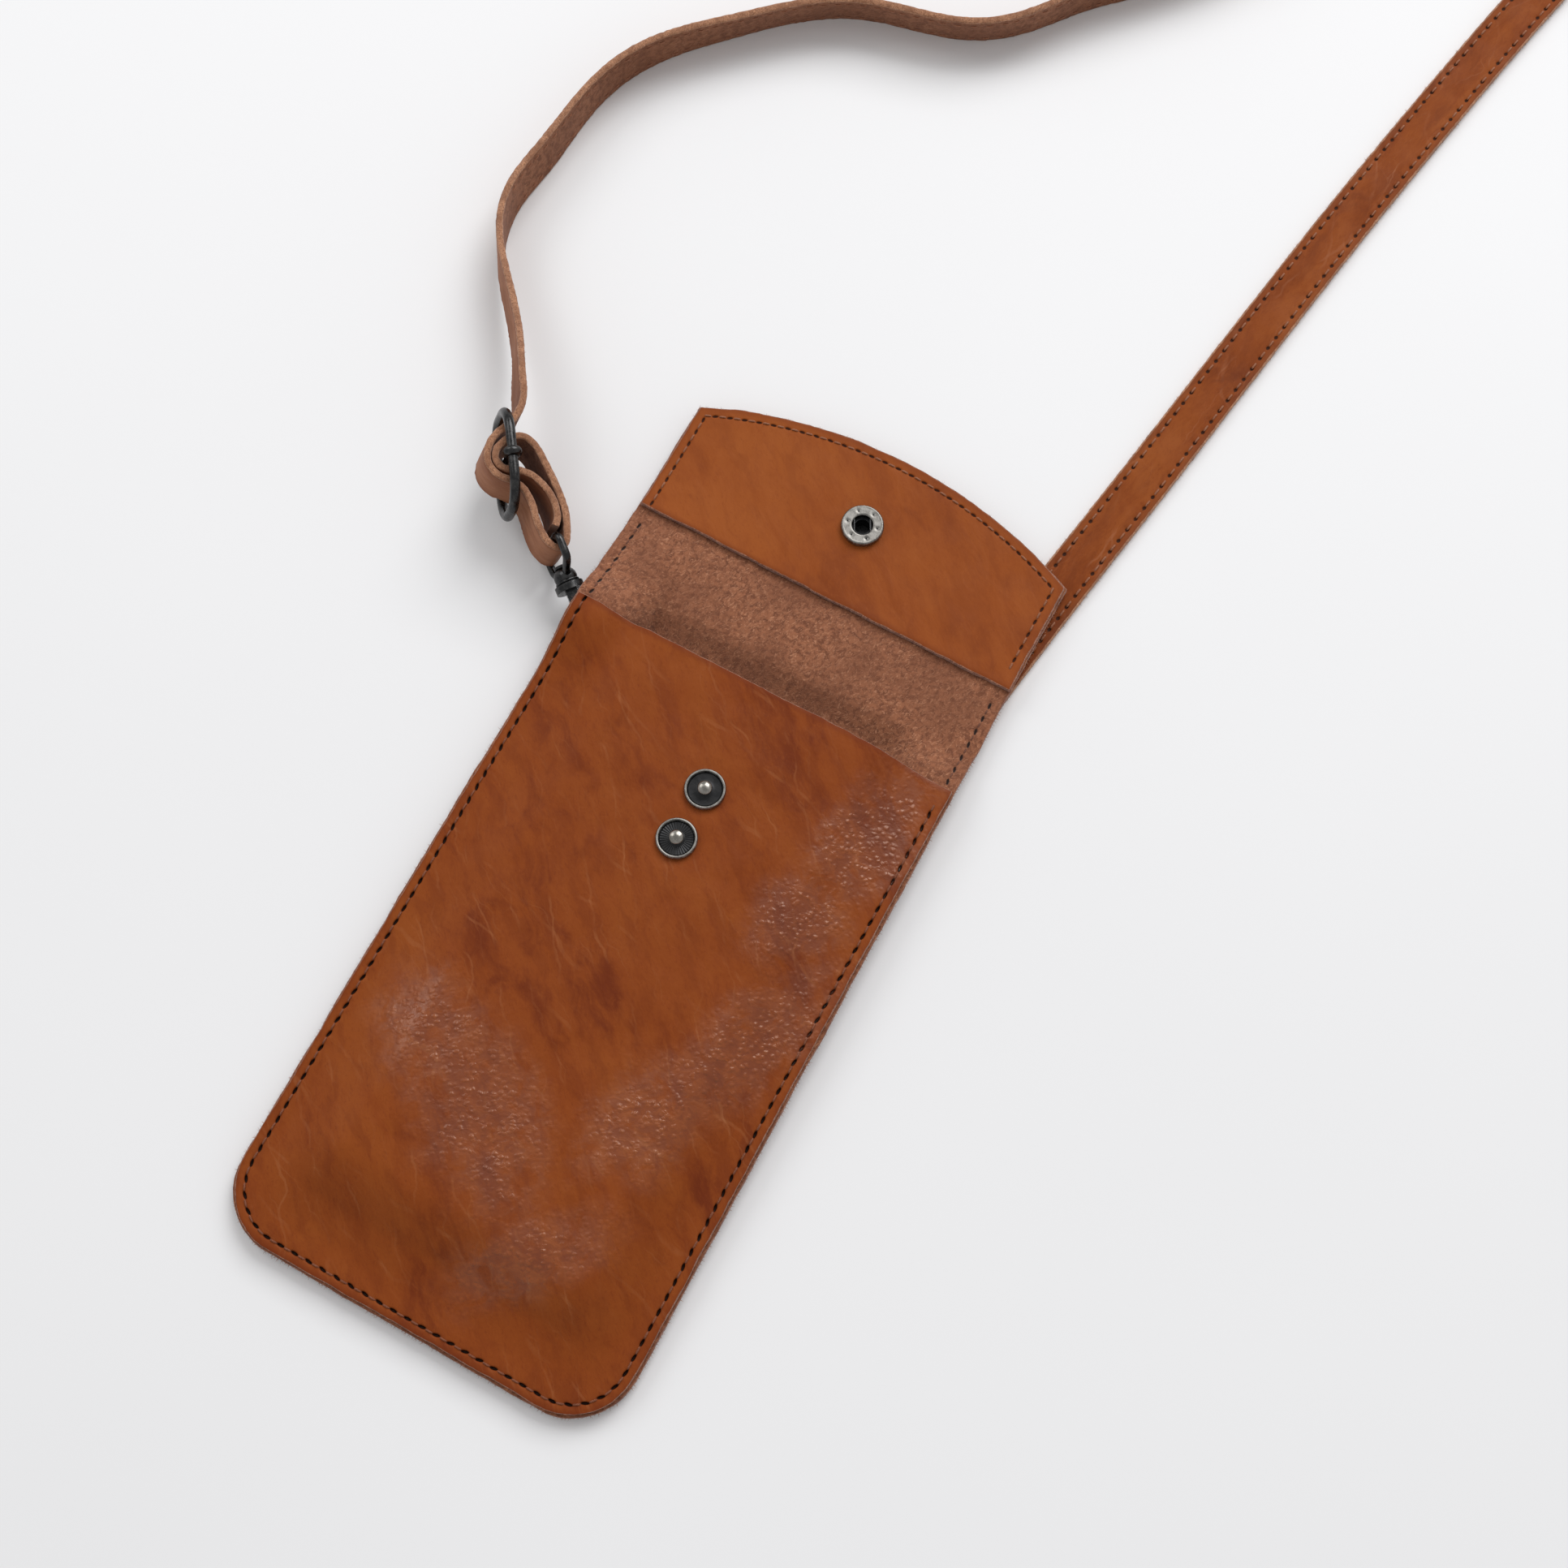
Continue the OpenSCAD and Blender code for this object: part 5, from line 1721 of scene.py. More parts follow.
@dataclass
class PressSnap:
    """Studs, socket with its sprung wires, and the cap on the outside of the flap."""

    form: PouchForm
    finishes: Finishes
    stud_r: float = 5.5
    ball_r: float = 1.95
    ball_z: float = 1.95
    ball_top: float = 3.0
    rib_count: int = 72
    rib_h: float = 0.12
    socket_r: float = 5.9
    hole_r: float = 2.85
    chamber_r: float = 4.2
    cap_r: float = 6.2
    cap_h: float = 1.8
    rivet_r: float = 2.4
    tick_steps: int = 120
    dimple_count: int = 6
    dimple_at: float = 4.25
    spring_turn: float = 28.0

    def stud(self, name: str, y: float, ribbed: bool) -> Piece:
        """Makes a stud.

        Args:
            name: name of the node that it stands for.
            y: height of the stud along the pouch.
            ribbed: whether its dish has fine radial ribs.

        Returns:
            The stud.
        """
        f, r, finishes = self.form, self.stud_r, self.finishes
        dish = f.rim_h * 0.33
        neck = self.ball_r * 0.76
        turns = np.radians(np.linspace(-38, 84, 9))
        rise = self.ball_top - self.ball_z
        ball = [(self.ball_r * math.cos(a), self.ball_z + rise * math.sin(a)) for a in turns]
        profile = [(1.6, -f.leather), (1.6, 0), (r, 0), (r, f.rim_h * 0.6), (r - 0.22, f.rim_h * 0.95),
                   (r - 0.45, f.rim_h), (r - 0.68, f.rim_h * 0.95), (r - 0.92, f.rim_h * 0.62),
                   (r - 1.15, dish), (r - 1.5, dish * 0.9), (r - 2.6, dish * 0.9), (neck * 1.5, dish),
                   (neck, dish * 2), (neck, 1.3), *ball, (0.06, self.ball_top)]
        piece = turned(name + "_turned", profile, self.rib_count)
        if ribbed:
            co = points_of(piece)
            out, turn = polar(co)
            ribs = (np.round(turn / (2 * math.pi) * self.rib_count).astype(int) % 2) * self.rib_h
            in_dish = (out > neck * 1.6) & (out < r - 1.0) & (co[:, 2] > 0.1 * MM) & (co[:, 2] < 0.5 * MM)
            co[:, 2] += np.where(in_dish, ribs * MM, 0)
            set_points(piece, co)
        centres, _ = face_data(piece)
        across, _ = polar(centres)
        dress(piece, finishes.nickel, finishes.recess_shade, finishes.bright)
        # Painted shade: the hollow dish takes the darker metal.
        slots = ((across < r - 0.85) & (centres[:, 2] > 0.1 * MM)).astype(np.int32)
        # Painted highlight: the top of the ball takes the lighter metal.
        slots[(across < self.ball_r) & (centres[:, 2] > 1.35 * MM)] = 2
        set_slots(piece, slots)
        smooth(piece, 12 if ribbed else 42)
        piece.data.transform(Matrix.Translation((0, float(f.row_y(y)) * MM, f.front_top * MM)))
        hand_over(piece, "dark_metal", name, body="pouch")
        return piece

    def socket(self) -> Piece:
        """Makes the socket ring with its dimples and the fine ticks of its rim."""
        r, h = self.socket_r, self.form.socket_h
        flat = [(s, h * 0.97) for s in np.arange(r - 0.75, self.hole_r + 0.35, -0.24)]
        seat = self.rivet_r + 0.05
        profile = [(seat, 0), (r * 0.97, 0), (r, h * 0.3), (r, h * 0.62), (r - 0.08, h * 0.82),
                   (r - 0.3, h * 0.97), (r - 0.5, h), *flat,
                   (self.hole_r + 0.22, h * 0.95), (self.hole_r + 0.05, h * 0.88),
                   (self.hole_r, h * 0.8), (self.hole_r, h * 0.7), (self.chamber_r, h * 0.7),
                   (self.chamber_r, h * 0.2), (seat, h * 0.2)]
        piece = turned("socket_turned", profile, self.tick_steps, ring=True)
        co = points_of(piece)
        out, turn = polar(co)
        third = np.round(turn / (2 * math.pi) * self.tick_steps).astype(int) % 3 == 0
        co[:, :2] *= (1 - 0.012 * (third * (out > r - 0.4) * (co[:, 2] > 0.5 * h * MM)))[:, None]
        angles = 2 * math.pi * (np.arange(self.dimple_count) + 0.2) / self.dimple_count
        dimples = self.dimple_at * np.column_stack([np.cos(angles), np.sin(angles)])
        for x, y in dimples:
            d = np.hypot(co[:, 0] / MM - x, co[:, 1] / MM - y)
            co[:, 2] -= np.where(co[:, 2] > h * 0.9 * MM, 0.3 * np.exp(-((d / 0.42) ** 2)), 0) * MM
        set_points(piece, co)
        smooth(piece, 42)
        centres, _ = face_data(piece)
        across, _ = polar(centres)
        dress(piece, self.finishes.nickel, self.finishes.recess_shade)
        # Painted shade: the chamber under the hole and the dimples of the face take the darker metal.
        inside = (across < self.chamber_r + 0.02) & (centres[:, 2] < 0.72 * h * MM)
        near = np.linalg.norm(centres[:, None, :2] / MM - dimples, axis=2).min(1)
        inside |= (near < 0.3) & (centres[:, 2] > 0.5 * h * MM)
        set_slots(piece, inside)
        return self.on_flap(piece, "snap_socket", "socket_metal")

    def on_flap(self, piece: Piece, node: str, slot: str) -> Piece:
        """Places a piece on the lining at the socket, in place of a node."""
        f = self.form
        piece.data.transform(Matrix.Translation((0, float(f.row_y(f.socket_y)) * MM, f.lining_top * MM)))
        hand_over(piece, slot, node, body="flap")
        return piece

    def spring(self) -> Piece:
        """Makes the two sprung wires, bowed, one of them hooked at its end."""
        z, reach = self.form.socket_h * 0.45, 3.1
        wires = []
        for s in (-1, 1):
            ys = np.linspace(-reach, reach, 15)
            xs = s * (2.34 - 0.14 * np.cos(ys / reach * math.pi / 2))
            route = np.column_stack([xs, ys, np.full_like(ys, z)])
            if s > 0:
                route = np.vstack([route, (2.75, 3.0, z)])
            wires.append(wire(f"spring_wire_{s}", route, 0.35, False))
        piece = join("socket_spring_wires", wires)
        piece.data.transform(Matrix.Rotation(math.radians(self.spring_turn), 4, "Z"))
        dress(piece, self.finishes.gunmetal)
        return self.on_flap(piece, "snap_spring", "spring_steel")

    def cap(self) -> Piece:
        """Makes the domed cap with its hollow rivet."""
        f, r, h = self.form, self.cap_r, self.cap_h
        base = -(f.leather + f.lining)
        turns = np.radians(np.linspace(0, 80, 12))
        wide = math.sin(turns[-1])
        dome = [(max(r * math.sin(a) / wide, 0.06), base - h * math.cos(a) ** 0.7) for a in turns]
        top, bore_r, floor = f.socket_h * 0.16, self.rivet_r * 0.88, base - h * 0.4
        profile = [*dome, (r, base - 0.12), (r - 0.05, base), (self.rivet_r, base), (self.rivet_r, top),
                   (bore_r, top), (bore_r, floor), (0.06, floor)]
        piece = turned("cap_turned", profile, 64)
        smooth(piece, 40)
        centres, _ = face_data(piece)
        dress(piece, self.finishes.gunmetal, self.finishes.recess_shade)
        # Painted shade: the rivet's tube and bore inside the socket take the darker metal, so the hole looks
        # dark.
        set_slots(piece, centres[:, 2] > (base + 0.05) * MM)
        return self.on_flap(piece, "snap_cap", "dark_metal")

    def build(self) -> list[Piece]:
        """Makes all pieces of the press snap but the eyelets, which keep their solids."""
        upper = self.stud("upper_stud", self.form.upper_stud_y, False)
        lower = self.stud("lower_stud", self.form.lower_stud_y, True)
        return [upper, lower, self.socket(), self.spring(), self.cap()]


@dataclass
class Ribbon:
    """A flat band of leather along a route, with rounded long edges."""

    name: str
    centre: Array
    across: Array
    width: float = 14.0
    thickness: float = 2.0
    columns: int = 16
    run_from: float = 0.0
    round_edge: float = 0.5
    seed: float = 1.0
    ragged: float = 0.16

    def frames(self) -> tuple[Array, Array]:
        """Directions along the band and out of its flesh side at each point."""
        along = units(np.gradient(self.centre, axis=0))
        return along, units(np.cross(along, self.across))

    def run(self) -> Array:
        """Distance along the whole strap at each point."""
        return self.run_from + run_along(self.centre)

    def build(self) -> Piece:
        """Makes the band."""
        rows = len(self.centre)
        piece = leather_grid(self.name, self.columns, rows - 1)
        uv = points_of(piece)
        row = np.clip(np.round((uv[:, 1] + 1) / 2 * (rows - 1)).astype(int), 0, rows - 1)
        _, out = self.frames()
        w = uv[:, 0] * self.width / 2
        co = self.centre[row] + self.across[row] * w[:, None] - out[row] * self.thickness / 2
        lay(piece, np.column_stack([w, self.run()[row]]), self.width / 2 - np.abs(w), co)
        thicken(piece, self.thickness, Face.GRAIN, Face.FLESH)
        self.weigh_long_edges(piece)
        long_edges = {"limit_method": "WEIGHT", "material": Face.CUT.value}
        modify(piece, "BEVEL", width=self.round_edge * MM, segments=2, **long_edges)
        fray(piece, 0.9, self.worn)
        return piece

    def weigh_long_edges(self, piece: Piece) -> None:
        """Marks the long edges of the band for rounding."""
        mesh = piece.data
        place = values_of(piece, PLACE, 3) / MM
        side = np.abs(place[:, 0]) > self.width / 2 - 1e-3
        a, b = read(mesh.edges, "vertices", 2, np.int32).T
        long = side[a] & side[b] & (np.abs(place[a, 1] - place[b, 1]) > 1e-3)
        name = "bevel_weight_edge"
        layer = mesh.attributes.get(name) or mesh.attributes.new(name, "FLOAT", "EDGE")
        layer.data.foreach_set("value", long.astype(np.float32))

    def worn(self, spots: Array) -> Array:
        """Small shifts of places near the long edges, in millimetres."""
        return np.stack([rough(spots, 0.8, self.seed + k) for k in range(3)], 1) * self.ragged


@dataclass
class StrapRoute:
    """Course of the strap from its tail in the slide buckle to its sewn end."""

    form: PouchForm
    hook: HookFrame
    step: float = 1.1
    lead: float = 26.0
    fixed: int = 3
    passes: int = 60
    join_step: float = 0.75
    join_reach: int = 18
    loop: tuple[Point2, ...] = (
        (54.6, -8.2), (53.2, -8.1), (51, -7), (48.9, -4.9), (47, -2.4), (45.9, 0.8), (44.8, 3.9), (43.2, 6.4),
        (41, 8.4), (38.5, 9.5), (35.7, 9.3), (33.2, 8), (31.4, 5.8), (29.4, 4.0), (27, 3), (23.5, 2.8),
        (20, 3.2), (16.6, 3.4), (13.4, 3.1), (10.8, 2), (9.6, 0), (10.8, -2), (13.4, -3.4), (16.8, -4.6),
        (20.4, -5.3), (24.2, -5.5), (28.2, -5.4), (32, -5.2), (36, -4.9), (39.4, -4.1), (41.8, -2.3),
        (42.5, 0.4), (42, 3.3), (40.7, 5.8), (38.4, 7.2), (35.7, 6.7), (34, 4.5), (32.8, 1.8), (31, -0.2),
        (28.4, -1.8), (25.4, -2.9), (22.4, -3.2), (19.4, -2.9), (17.2, -2.1), (15.7, -0.9),
    )
    free: tuple[tuple[float, float, float, float], ...] = (
        (-98.77, 227.48, 15.78, 75), (-99.63, 228.14, 15.97, 75), (-100.48, 228.81, 16.16, 75),
        (-103.2, 234.9, 14.9, 76), (-108.1, 241.5, 13, 77), (-116.1, 251.1, 11.2, 79),
        (-124.9, 260.5, 9.4, 81), (-130.8, 268.2, 8.4, 85), (-134.9, 277.8, 7.7, 90),
        (-136, 288.2, 7.3, 92), (-134.1, 298.7, 7.2, 93),
        (-133.6, 310.8, 7.2, 91), (-132.6, 323.1, 7.2, 88), (-130, 333.8, 7.2, 86), (-125, 344.1, 7.2, 84),
        (-117, 354.1, 7.2, 80), (-106.5, 364.5, 7.2, 76), (-96.6, 374.4, 7.2, 74), (-85.4, 383.3, 7.2, 74),
        (-73.4, 388.6, 7.2, 74), (-58.8, 391.6, 7.2, 74), (-46.4, 395.2, 7.2, 74), (-38, 400.6, 7.2, 75),
        (-32.2, 406.6, 7.2, 78), (-27, 413.3, 7.2, 80), (-20.1, 423.7, 7.2, 84), (-4, 440, 7.2, 86),
        (14, 464, 7.2, 88), (22, 496, 7.2, 90), (17, 532, 7.2, 90), (8, 568, 7.2, 90), (5, 606, 7.2, 90),
        (20, 642, 7.2, 90), (54, 664, 7.2, 90), (92, 660, 7.2, 90), (116, 632, 7.2, 88), (119, 596, 7, 68),
        (112, 560, 5.4, 42), (103.5, 528, 3.2, 18), (97.5, 500, 1.8, 4), (91.4, 472, 1.3, 0),
        (82.8, 427, 1.2, 0), (75.5, 385, 1.2, 0), (67.6, 334, 1.2, 0), (60.9, 290, 1.2, 0),
        (55.4, 256, 1.2, 0), (50.4, 222, 1.2, 0), (47.4, 200, 1.2, 0), (47, 180, 1.3, 0), (47, 158, 1.3, 0),
    )

    def relaxed(self, points: Array, free: slice) -> Array:
        """Points with a free stretch of them drawn towards their neighbours."""
        points = points.copy()
        for _ in range(self.passes):
            mean = (np.roll(points, 1, 0) + np.roll(points, -1, 0)) / 2
            points[free] = (points[free] + mean[free]) / 2
        return points

    def joined(self, loop: Array, free: Array) -> tuple[Array, Array]:
        """Joins the stretch in the buckle to the free strap without a kink."""
        both = even(np.vstack([loop, free]), self.join_step)
        middle = int(np.argmin(np.linalg.norm(both[:, :3] - free[0, :3], axis=1)))
        both = self.relaxed(both, slice(middle - self.join_reach, middle + self.join_reach + 6))
        return both[:, :3], units(both[:, 3:])

    def loop_frames(self) -> tuple[Array, Array]:
        """Points and width directions of the stretch in the buckle, from the tail out."""
        flat = even(curve(np.array([(*p, 0.0) for p in reversed(self.loop)])), 0.6)
        centre = np.array([self.hook.point(x, y) for x, y, _ in flat])
        return centre, np.tile(self.hook.axes()[2], (len(centre), 1))

    def free_frames(self) -> tuple[Array, Array]:
        """Shapes the free strap."""
        rows = np.array(self.free)
        rows[:, 1] = self.form.row_y(rows[:, 1])
        path = even(curve(rows), self.step)
        path = self.relaxed(path, slice(self.fixed, len(path) - self.fixed))
        centre = path[:, :3]
        along = units(np.gradient(centre, axis=0))
        level = units(np.cross(along, (0, 0, 1)))
        up = np.cross(level, along)
        roll = np.radians(path[:, 3])[:, None]
        return centre, level * np.cos(roll) + up * np.sin(roll)


@dataclass
class Strap:
    """The strap: its stretch in the buckle, the free strap, and their threads."""

    form: PouchForm
    hook: HookFrame
    finishes: Finishes
    route: StrapRoute
    width: float = 14.0
    thickness: float = 2.0
    row_inset: float = 2.3
    pitch: float = 4.1

    def rows(self, ribbon: Ribbon, first: float, last: float, offset: float) -> Array:
        """Places of the two edge rows, as places across and along the band."""
        run = ribbon.run()
        s = np.arange(max(first, run[0]), min(last, run[-1]), self.pitch) + offset * self.pitch
        return self.pair(s, self.width / 2 - self.row_inset, math.pi / 2)

    def pair(self, s: Array, w: float, turn: float) -> Array:
        """Places at distances s along the band, on the left and on the right of its middle."""
        sides = [np.column_stack([np.full_like(s, k * w), s, np.full_like(s, turn)]) for k in (-1, 1)]
        return np.vstack(sides)

    def fuzz(self, name: str, ribbon: Ribbon, step: float, seed: int) -> Piece:
        """Makes the fibres that stand off the long edges of a band.

        Args:
            name: name of the piece.
            ribbon: the band.
            step: distance of the tufts.
            seed: number that picks their sizes.

        Returns:
            The fibres.
        """
        picks = np.random.default_rng(seed)
        _, out = ribbon.frames()
        run = ribbon.run()
        places = np.arange(run[0] + 1, run[-1] - 1, step)
        roots, outs = [], []
        for side in (-1, 1):
            for s in places + picks.uniform(-0.4, 0.4, len(places)) * step:
                k = int(np.clip(np.searchsorted(run, s), 0, len(run) - 1))
                level = picks.uniform(-0.4, 0.4) * self.thickness
                off = ribbon.across[k] * side * (self.width / 2 - 0.1)
                roots.append(ribbon.centre[k] + off + out[k] * level)
                outs.append(ribbon.across[k] * side)
        fibre = self.finishes.fibre
        piece = sew(name, tuft_frames(np.array(roots), np.array(outs), seed), FibreTuft(length=0.8), fibre)
        rest_on_table(piece)
        return piece

    def frames_on(self, ribbon: Ribbon, spots: Array, grain: bool) -> list[Matrix]:
        """Frames of stitches on one side of the band.

        Args:
            ribbon: the band.
            spots: places across and along it, one row each.
            grain: whether they lie on the grain side.

        Returns:
            One matrix for each place.
        """
        along, out = ribbon.frames()
        run = ribbon.run()
        frames = []
        for w, s, _ in spots:
            k = int(np.clip(np.searchsorted(run, s), 0, len(run) - 1))
            side = out[k] * (-1 if grain else 1)
            place = ribbon.centre[k] + ribbon.across[k] * w + side * (self.thickness / 2)
            frames.append(framed(Vector(place) * MM, along[k], np.cross(side, along[k]), side))
        return frames

    def build(self) -> list[Piece]:
        """Makes the buckle stretch, the free strap and the threads."""
        loop, loop_across = self.route.loop_frames()
        free, free_across = self.route.free_frames()
        lead = round(self.route.lead / self.route.step)
        centre, across = self.route.joined(
            np.column_stack([loop[:-1], loop_across[:-1]]), np.column_stack([free, free_across])[: lead + 1]
        )
        ribbon = Ribbon("buckle_loop_leather", centre, across, self.width, self.thickness, 12, seed=11)
        finishes = self.finishes
        sides = (finishes.strap, finishes.strap_flesh, finishes.strap_cut)
        piece = ribbon.build()
        finish_leather(piece, *sides)
        hand_over(piece, "strap_leather", "adjuster_loop")
        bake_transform(piece)
        loop_fibres = self.fuzz("loop_edge_fibres", ribbon, 1.2, 31)
        hand_over(loop_fibres, "strap_leather")
        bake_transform(loop_fibres)
        band = Ribbon(
            "free_strap_leather", free[lead:], free_across[lead:], self.width, self.thickness, 14,
            run_from=ribbon.run()[-1], seed=13,
        )
        strap = band.build()
        run = band.run()
        sewn_from, sewn_to = run[0] + 40, run[-1] - 6
        holes = self.rows(band, sewn_from, sewn_to, 0.0)
        holes[:, :2] *= MM
        punch(strap, Face.GRAIN, holes, 0.42 * MM, 0.62 * MM, 0.45 * MM)
        finish_leather(strap, *sides)
        spots = self.rows(band, sewn_from, sewn_to, 0.5)
        frames = self.frames_on(band, spots, True) + self.frames_on(band, spots, False)
        bar = StitchBar(2.4, 0.55, 0.36)
        thread = sew("strap_edge_thread", frames, bar, finishes.pale)
        rest_on_table(thread)
        hand_over(thread, "pale_thread", body="pouch")
        sewn = self.sewn_end(band)
        fibres = self.fuzz("strap_edge_fibres", band, 2.0, 33)
        hand_over(fibres, "strap_leather", body="pouch")
        hand_over(strap, "strap_leather", "strap", body="pouch")
        [tuple(p * MM) for p in free[lead::4]]
        return [piece, loop_fibres, strap, thread, sewn, fibres]

    def sewn_end(self, band: Ribbon) -> Piece:
        """Sews the flat end of the strap down with a stitched box.

        Args:
            band: the free strap.

        Returns:
            The thread.
        """
        end = band.run()[-1]
        low, high = end - 20.0, end - 3.5
        s = np.arange(low, high, self.pitch) + self.pitch / 2
        frames = self.frames_on(band, self.pair(s, self.width / 2 - 2.0, 0.0), False)
        for place in (low, high):
            cross = [(k * self.pitch * 0.85, place, 0.0) for k in (-1, 0, 1)]
            turn = Matrix.Rotation(math.pi / 2, 4, "Z")
            frames += [m @ turn for m in self.frames_on(band, np.array(cross), False)]
        bar = StitchBar(2.6, 0.6, 0.36)
        piece = sew("sewn_end_thread", frames, bar, self.finishes.seam)
        rest_on_table(piece)
        hand_over(piece, "thread", "strap_thread", body="pouch")
        return piece


@dataclass
class LeftFastening:
    """Tab and ring, hook with its gate, and the swivel eye."""

    form: PouchForm
    hook: HookFrame
    finishes: Finishes
    tab_w: float = 9.0
    tab_t: float = 1.2
    tab_len: float = 24.0
    tab_z: float = 0.35
    ring_wire_r: float = 0.9
    eye_wire_r: float = 1.1
    eye_reach: float = 13.0
    eye_side: float = 8.25
    barrel_r: float = 3.2
    barrel_len: float = 4.4
    barrel_start: float = 0.998

    def tab(self) -> Piece:
        """Makes the leather tab, folded round the bar of the ring."""
        low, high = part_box("ring_tab")
        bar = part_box("d_ring")[0] / MM
        x = (low.x + high.x) / 2 / MM
        y = high.y / MM - self.ring_wire_r - 0.1 - self.tab_t
        z = bar.z + self.ring_wire_r
        r = self.ring_wire_r + 0.1 + self.tab_t / 2
        upper, lower = self.tab_z + self.tab_t * 1.5, self.tab_z + self.tab_t * 0.5
        ys = (y - self.tab_len, y - self.tab_len * 0.6, y - r * 2.9)
        turns = np.radians(np.linspace(110, -90, 15))
        route = [(x, p, upper) for p in ys]
        route += [(x, y + r * math.cos(a), z + r * math.sin(a)) for a in turns]
        route += [(x, p, lower) for p in reversed(ys)]
        flat = even(curve(np.array(route)), 0.5)
        across = np.tile((1.0, 0.0, 0.0), (len(flat), 1))
        band = Ribbon("ring_tab_leather", flat, across, self.tab_w, self.tab_t, 8, round_edge=0.3, seed=21)
        piece = band.build()
        finish_leather(piece, self.finishes.strap_flesh, self.finishes.strap, self.finishes.cut)
        hand_over(piece, "strap_leather", "ring_tab", body="pouch")
        return piece

    def tab_stitches(self) -> Piece:
        """Sews the tail of the tab."""
        low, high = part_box("tab_thread")
        from_side, from_end = 0.35 * MM, 1.15 * MM
        frames = []
        for x in (low.x + from_side, high.x - from_side):
            for y in np.linspace(low.y + from_end, high.y - from_end, 3):
                frame = Matrix.Translation((x, y, self.tab_z * MM)) @ Matrix.Rotation(math.pi, 4, "Y")
                frames.append(frame @ Matrix.Rotation(math.pi / 2, 4, "Z"))
        bar = StitchBar(2.4, 0.6, 0.3)
        piece = sew("tab_seam_thread", frames, bar, self.finishes.seam)
        hand_over(piece, "thread", "tab_thread", body="pouch")
        return piece

    def eye(self) -> Piece:
        """Makes the swivel eye: a beaded barrel and a bent wire that holds the strap."""
        s, r = self.barrel_start, self.barrel_r
        profile = [(1.28, s), (r * 0.92, s), (r * 1.04, s + 0.25), (r * 1.04, s + 0.7), (r * 0.93, s + 0.95),
                   (r * 0.98, s + 1.2), (r, s + 1.7), (r * 0.97, s + 2.6), (r * 0.86, s + 3.4),
                   (r * 0.7, s + 4.05), (r * 0.5, s + self.barrel_len), (1.28, s + self.barrel_len)]
        barrel = turned("eye_barrel", profile, 56, ring=True)
        soften(barrel, 0.12)
        barrel.data.transform(self.hook.matrix())
        side, far, bend = self.eye_side, self.eye_reach, 2.1
        arm = [(s + 2.4, 2.35), (s + 3.6, 4.2), (s + 4.9, side - 1.1), (s + 6.6, side), (far, side)]
        half = [p for p in curve(np.array(arm), 6) if p[0] < far - bend - 0.2]
        upper = [*half, *filleted([half[-1], (far, side), (far, 0)], bend, 7, closed=False)[1:-1]]
        outline = upper + [(x, -z) for x, z in reversed(upper)]
        route = np.array([self.hook.point(x, 0, z) for x, z in outline])
        frame = wire("eye_wire", route, self.eye_wire_r, False, 6)
        piece = join("swivel_eye_metal", [barrel, frame])
        dress(piece, self.finishes.gunmetal)
        hand_over(piece, "dark_metal", "swivel_eye", body="left_end")
        return piece

    def build(self) -> list[Piece]:
        """Makes the pieces but the ring and the hook, which keep their solids."""
        return [self.tab(), self.tab_stitches(), self.eye()]


@dataclass
class SlideBuckle:
    """Wire frame of the slide buckle and its middle bar."""

    hook: HookFrame
    finishes: Finishes
    at: Point2 = (37.6, 3.2)
    turn: float = -17.0
    reach: float = 13.6
    side: float = 9.6
    wire_r: float = 1.4
    bend: float = 7.6
    bar_r: float = 1.3

    def point(self, a: float, b: float) -> Array:
        """A place of the frame's plane, along and across it."""
        t = math.radians(self.turn)
        return self.hook.point(self.at[0] + a * math.cos(t), self.at[1] + a * math.sin(t), b)

    def frame(self) -> Piece:
        """Makes the round-cornered wire frame."""
        a, b = self.reach, self.side
        outline = filleted([(-a, -b), (a, -b), (a, b), (-a, b)], self.bend, 12)
        piece = wire("slide_frame_wire", np.array([self.point(*p) for p in outline]), self.wire_r, True, 7)
        dress(piece, self.finishes.gunmetal)
        hand_over(piece, "dark_metal", "slide_frame", body="buckle")
        return piece

    def bar(self) -> Piece:
        """Makes the middle bar, wrapped round the frame with a bead at each end."""
        inner = self.side - 1.6
        rod = np.array([self.point(0, b) for b in np.linspace(-inner, inner, 9)])
        parts = [wire("bar_rod", rod, self.bar_r, False, 6)]
        r, w = self.wire_r, 1.3
        turns = np.radians(np.linspace(-80, 80, 9))
        round_side = [(r + 0.1 + 1.2 * math.cos(a), w * math.sin(a)) for a in turns]
        profile = [(r + 0.04, -w), *round_side, (r + 0.04, w)]
        t = math.radians(self.turn)
        along, side, across = (Vector(v) for v in self.hook.axes())
        pull = along * math.cos(t) + side * math.sin(t)
        for s in (-1, 1):
            bead = turned(f"bar_bead_{s}", profile, 40, ring=True)
            soften(bead, 0.1)
            place = Vector(self.point(0, s * self.side) * MM)
            bead.data.transform(framed(place, across, -pull.cross(across), pull))
            parts.append(bead)
        piece = join("slide_bar_metal", parts)
        recalculate(piece, merge=False)
        dress(piece, self.finishes.gunmetal)
        hand_over(piece, "dark_metal", "slide_bar", body="buckle")
        return piece

    def build(self) -> list[Piece]:
        """Makes the frame and the bar."""
        return [self.frame(), self.bar()]


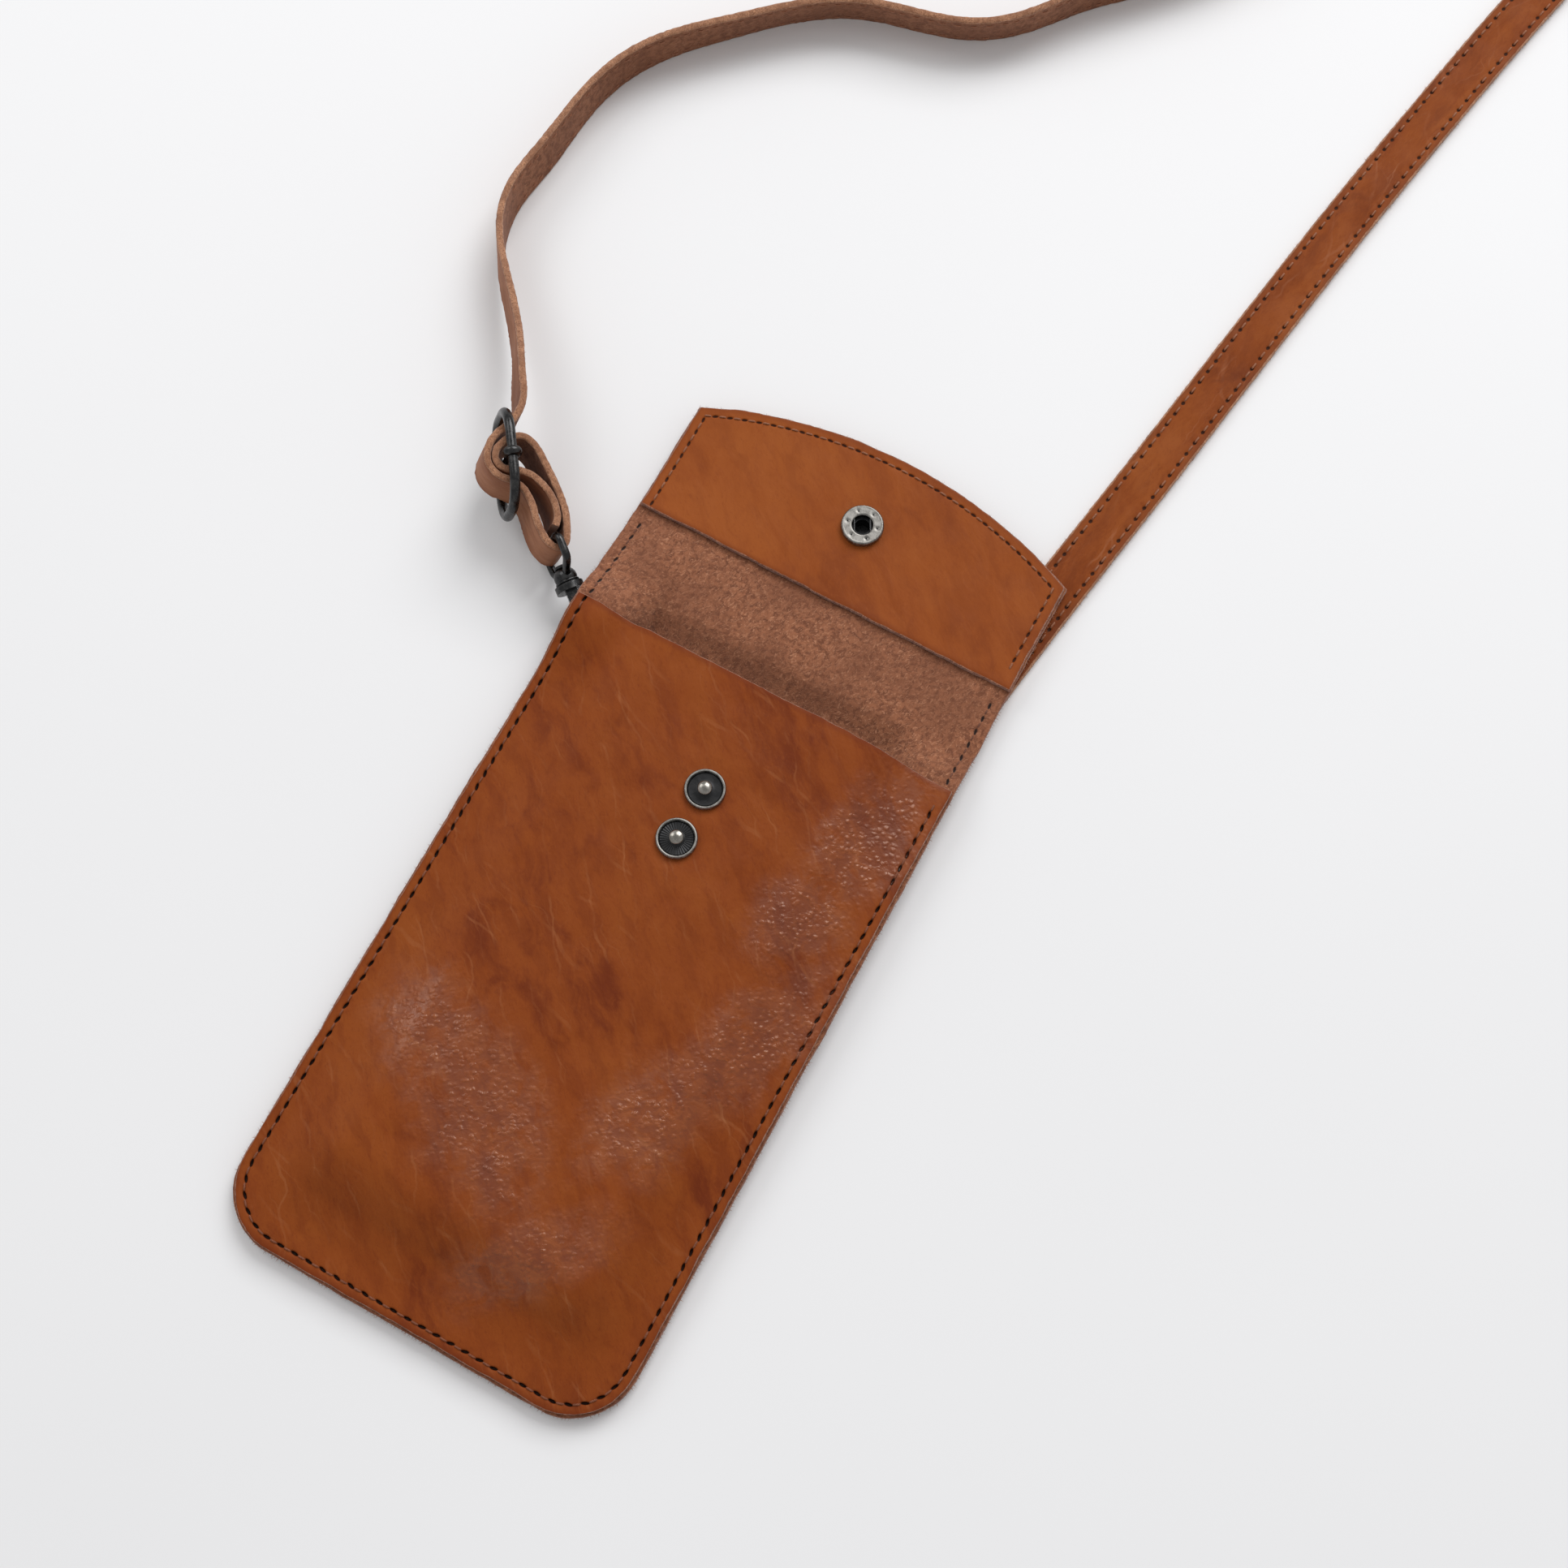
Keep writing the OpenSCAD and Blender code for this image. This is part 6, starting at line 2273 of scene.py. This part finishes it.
@dataclass(frozen=True)
class Studio:
    """Camera at the viewing angle of the photograph, soft lights and a pale table."""

    eye: Point3 = (0.09095, -0.10223, 0.53922)
    tilt: float = 16.32
    swing: float = -28.60
    lens: float = 48.45
    sensor: float = 36.0
    table_size: float = 8.0
    room_light: float = 0.52

    def camera(self) -> None:
        """Makes the camera."""
        th, az = math.radians(self.tilt), math.radians(self.swing)
        look = Vector((math.sin(th) * math.sin(az), math.sin(th) * math.cos(az), -math.cos(th)))
        up = Vector((math.cos(th) * math.sin(az), math.cos(th) * math.cos(az), math.sin(th)))
        data = bpy.data.cameras.new("camera")
        data.lens, data.sensor_width = self.lens, self.sensor
        data.clip_start, data.clip_end = 0.01, 50.0
        camera = bpy.data.objects.new("camera", data)
        bpy.context.scene.collection.objects.link(camera)
        camera.matrix_world = framed(Vector(self.eye), look.cross(up), up, -look)
        bpy.context.scene.camera = camera

    def lamp(self, name: str, place: Point3, size: float, power: float) -> None:
        """Adds a soft square lamp that looks at the pouch.

        Args:
            name: name of the lamp.
            place: its place in metres.
            size: length of its side in metres.
            power: its power in watts.
        """
        data = bpy.data.lights.new(name, "AREA")
        data.shape, data.size, data.energy = "SQUARE", size, power
        light = bpy.data.objects.new(name, data)
        bpy.context.scene.collection.objects.link(light)
        light.location = place
        light.rotation_mode = "QUATERNION"
        light.rotation_quaternion = (Vector((0, 0, 0)) - Vector(place)).to_track_quat("-Z", "Y")

    def build(self) -> None:
        """Makes the camera, the even room light, the lamps and the table."""
        self.camera()
        world = bpy.data.worlds.new("room")
        world.use_nodes = True
        colour, strength = world.node_tree.nodes["Background"].inputs[:2]
        colour.default_value = (1.0, 1.0, 1.0, 1.0)
        strength.default_value = self.room_light
        bpy.context.scene.world = world
        self.lamp("window", (0.05, 1.6, 1.5), 1.3, 28.5)
        self.lamp("side_window", (-1.3, 0.3, 1.2), 0.8, 5.0)
        deselect()
        bpy.ops.mesh.primitive_plane_add(size=self.table_size)
        table = newly_made("table_top")
        dress(table, Table().build())
        bpy.context.scene.view_settings.view_transform = "Standard"


def finish_nodes(finishes: Finishes) -> list[Piece]:
    """Gives the nodes that keep their solids their metal finishes.

    Args:
        finishes: the materials.

    Returns:
        The nodes.
    """
    kept = {
        "d_ring": finishes.gunmetal, "hook_body": finishes.gunmetal, "hook_gate": finishes.gunmetal,
        "gate_pin": finishes.steel, "gate_spring": finishes.steel,
        "upper_stud_eyelet": finishes.nickel, "lower_stud_eyelet": finishes.nickel,
    }
    for node, material in kept.items():
        piece = bpy.data.objects[node]
        piece.data.materials.clear()
        piece.data.materials.append(material)
    return [bpy.data.objects[node] for node in kept]


def main() -> None:
    """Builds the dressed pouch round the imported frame."""
    logging.basicConfig(level=logging.INFO, format="%(message)s")
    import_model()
    form = PouchForm()
    hook = HookFrame(form)
    finishes = Finishes()
    Studio().build()
    pieces = [
        *Strap(form, hook, finishes, StrapRoute(form, hook)).build(),
        *Pocket(form, finishes).build(),
        *PressSnap(form, finishes).build(),
        *LeftFastening(form, hook, finishes).build(),
        *SlideBuckle(hook, finishes).build(),
        *finish_nodes(finishes),
    ]
    for piece in pieces:
        LOG.info("%s: %d faces", piece.name, len(piece.data.polygons))


if __name__ == "__main__":
    main()
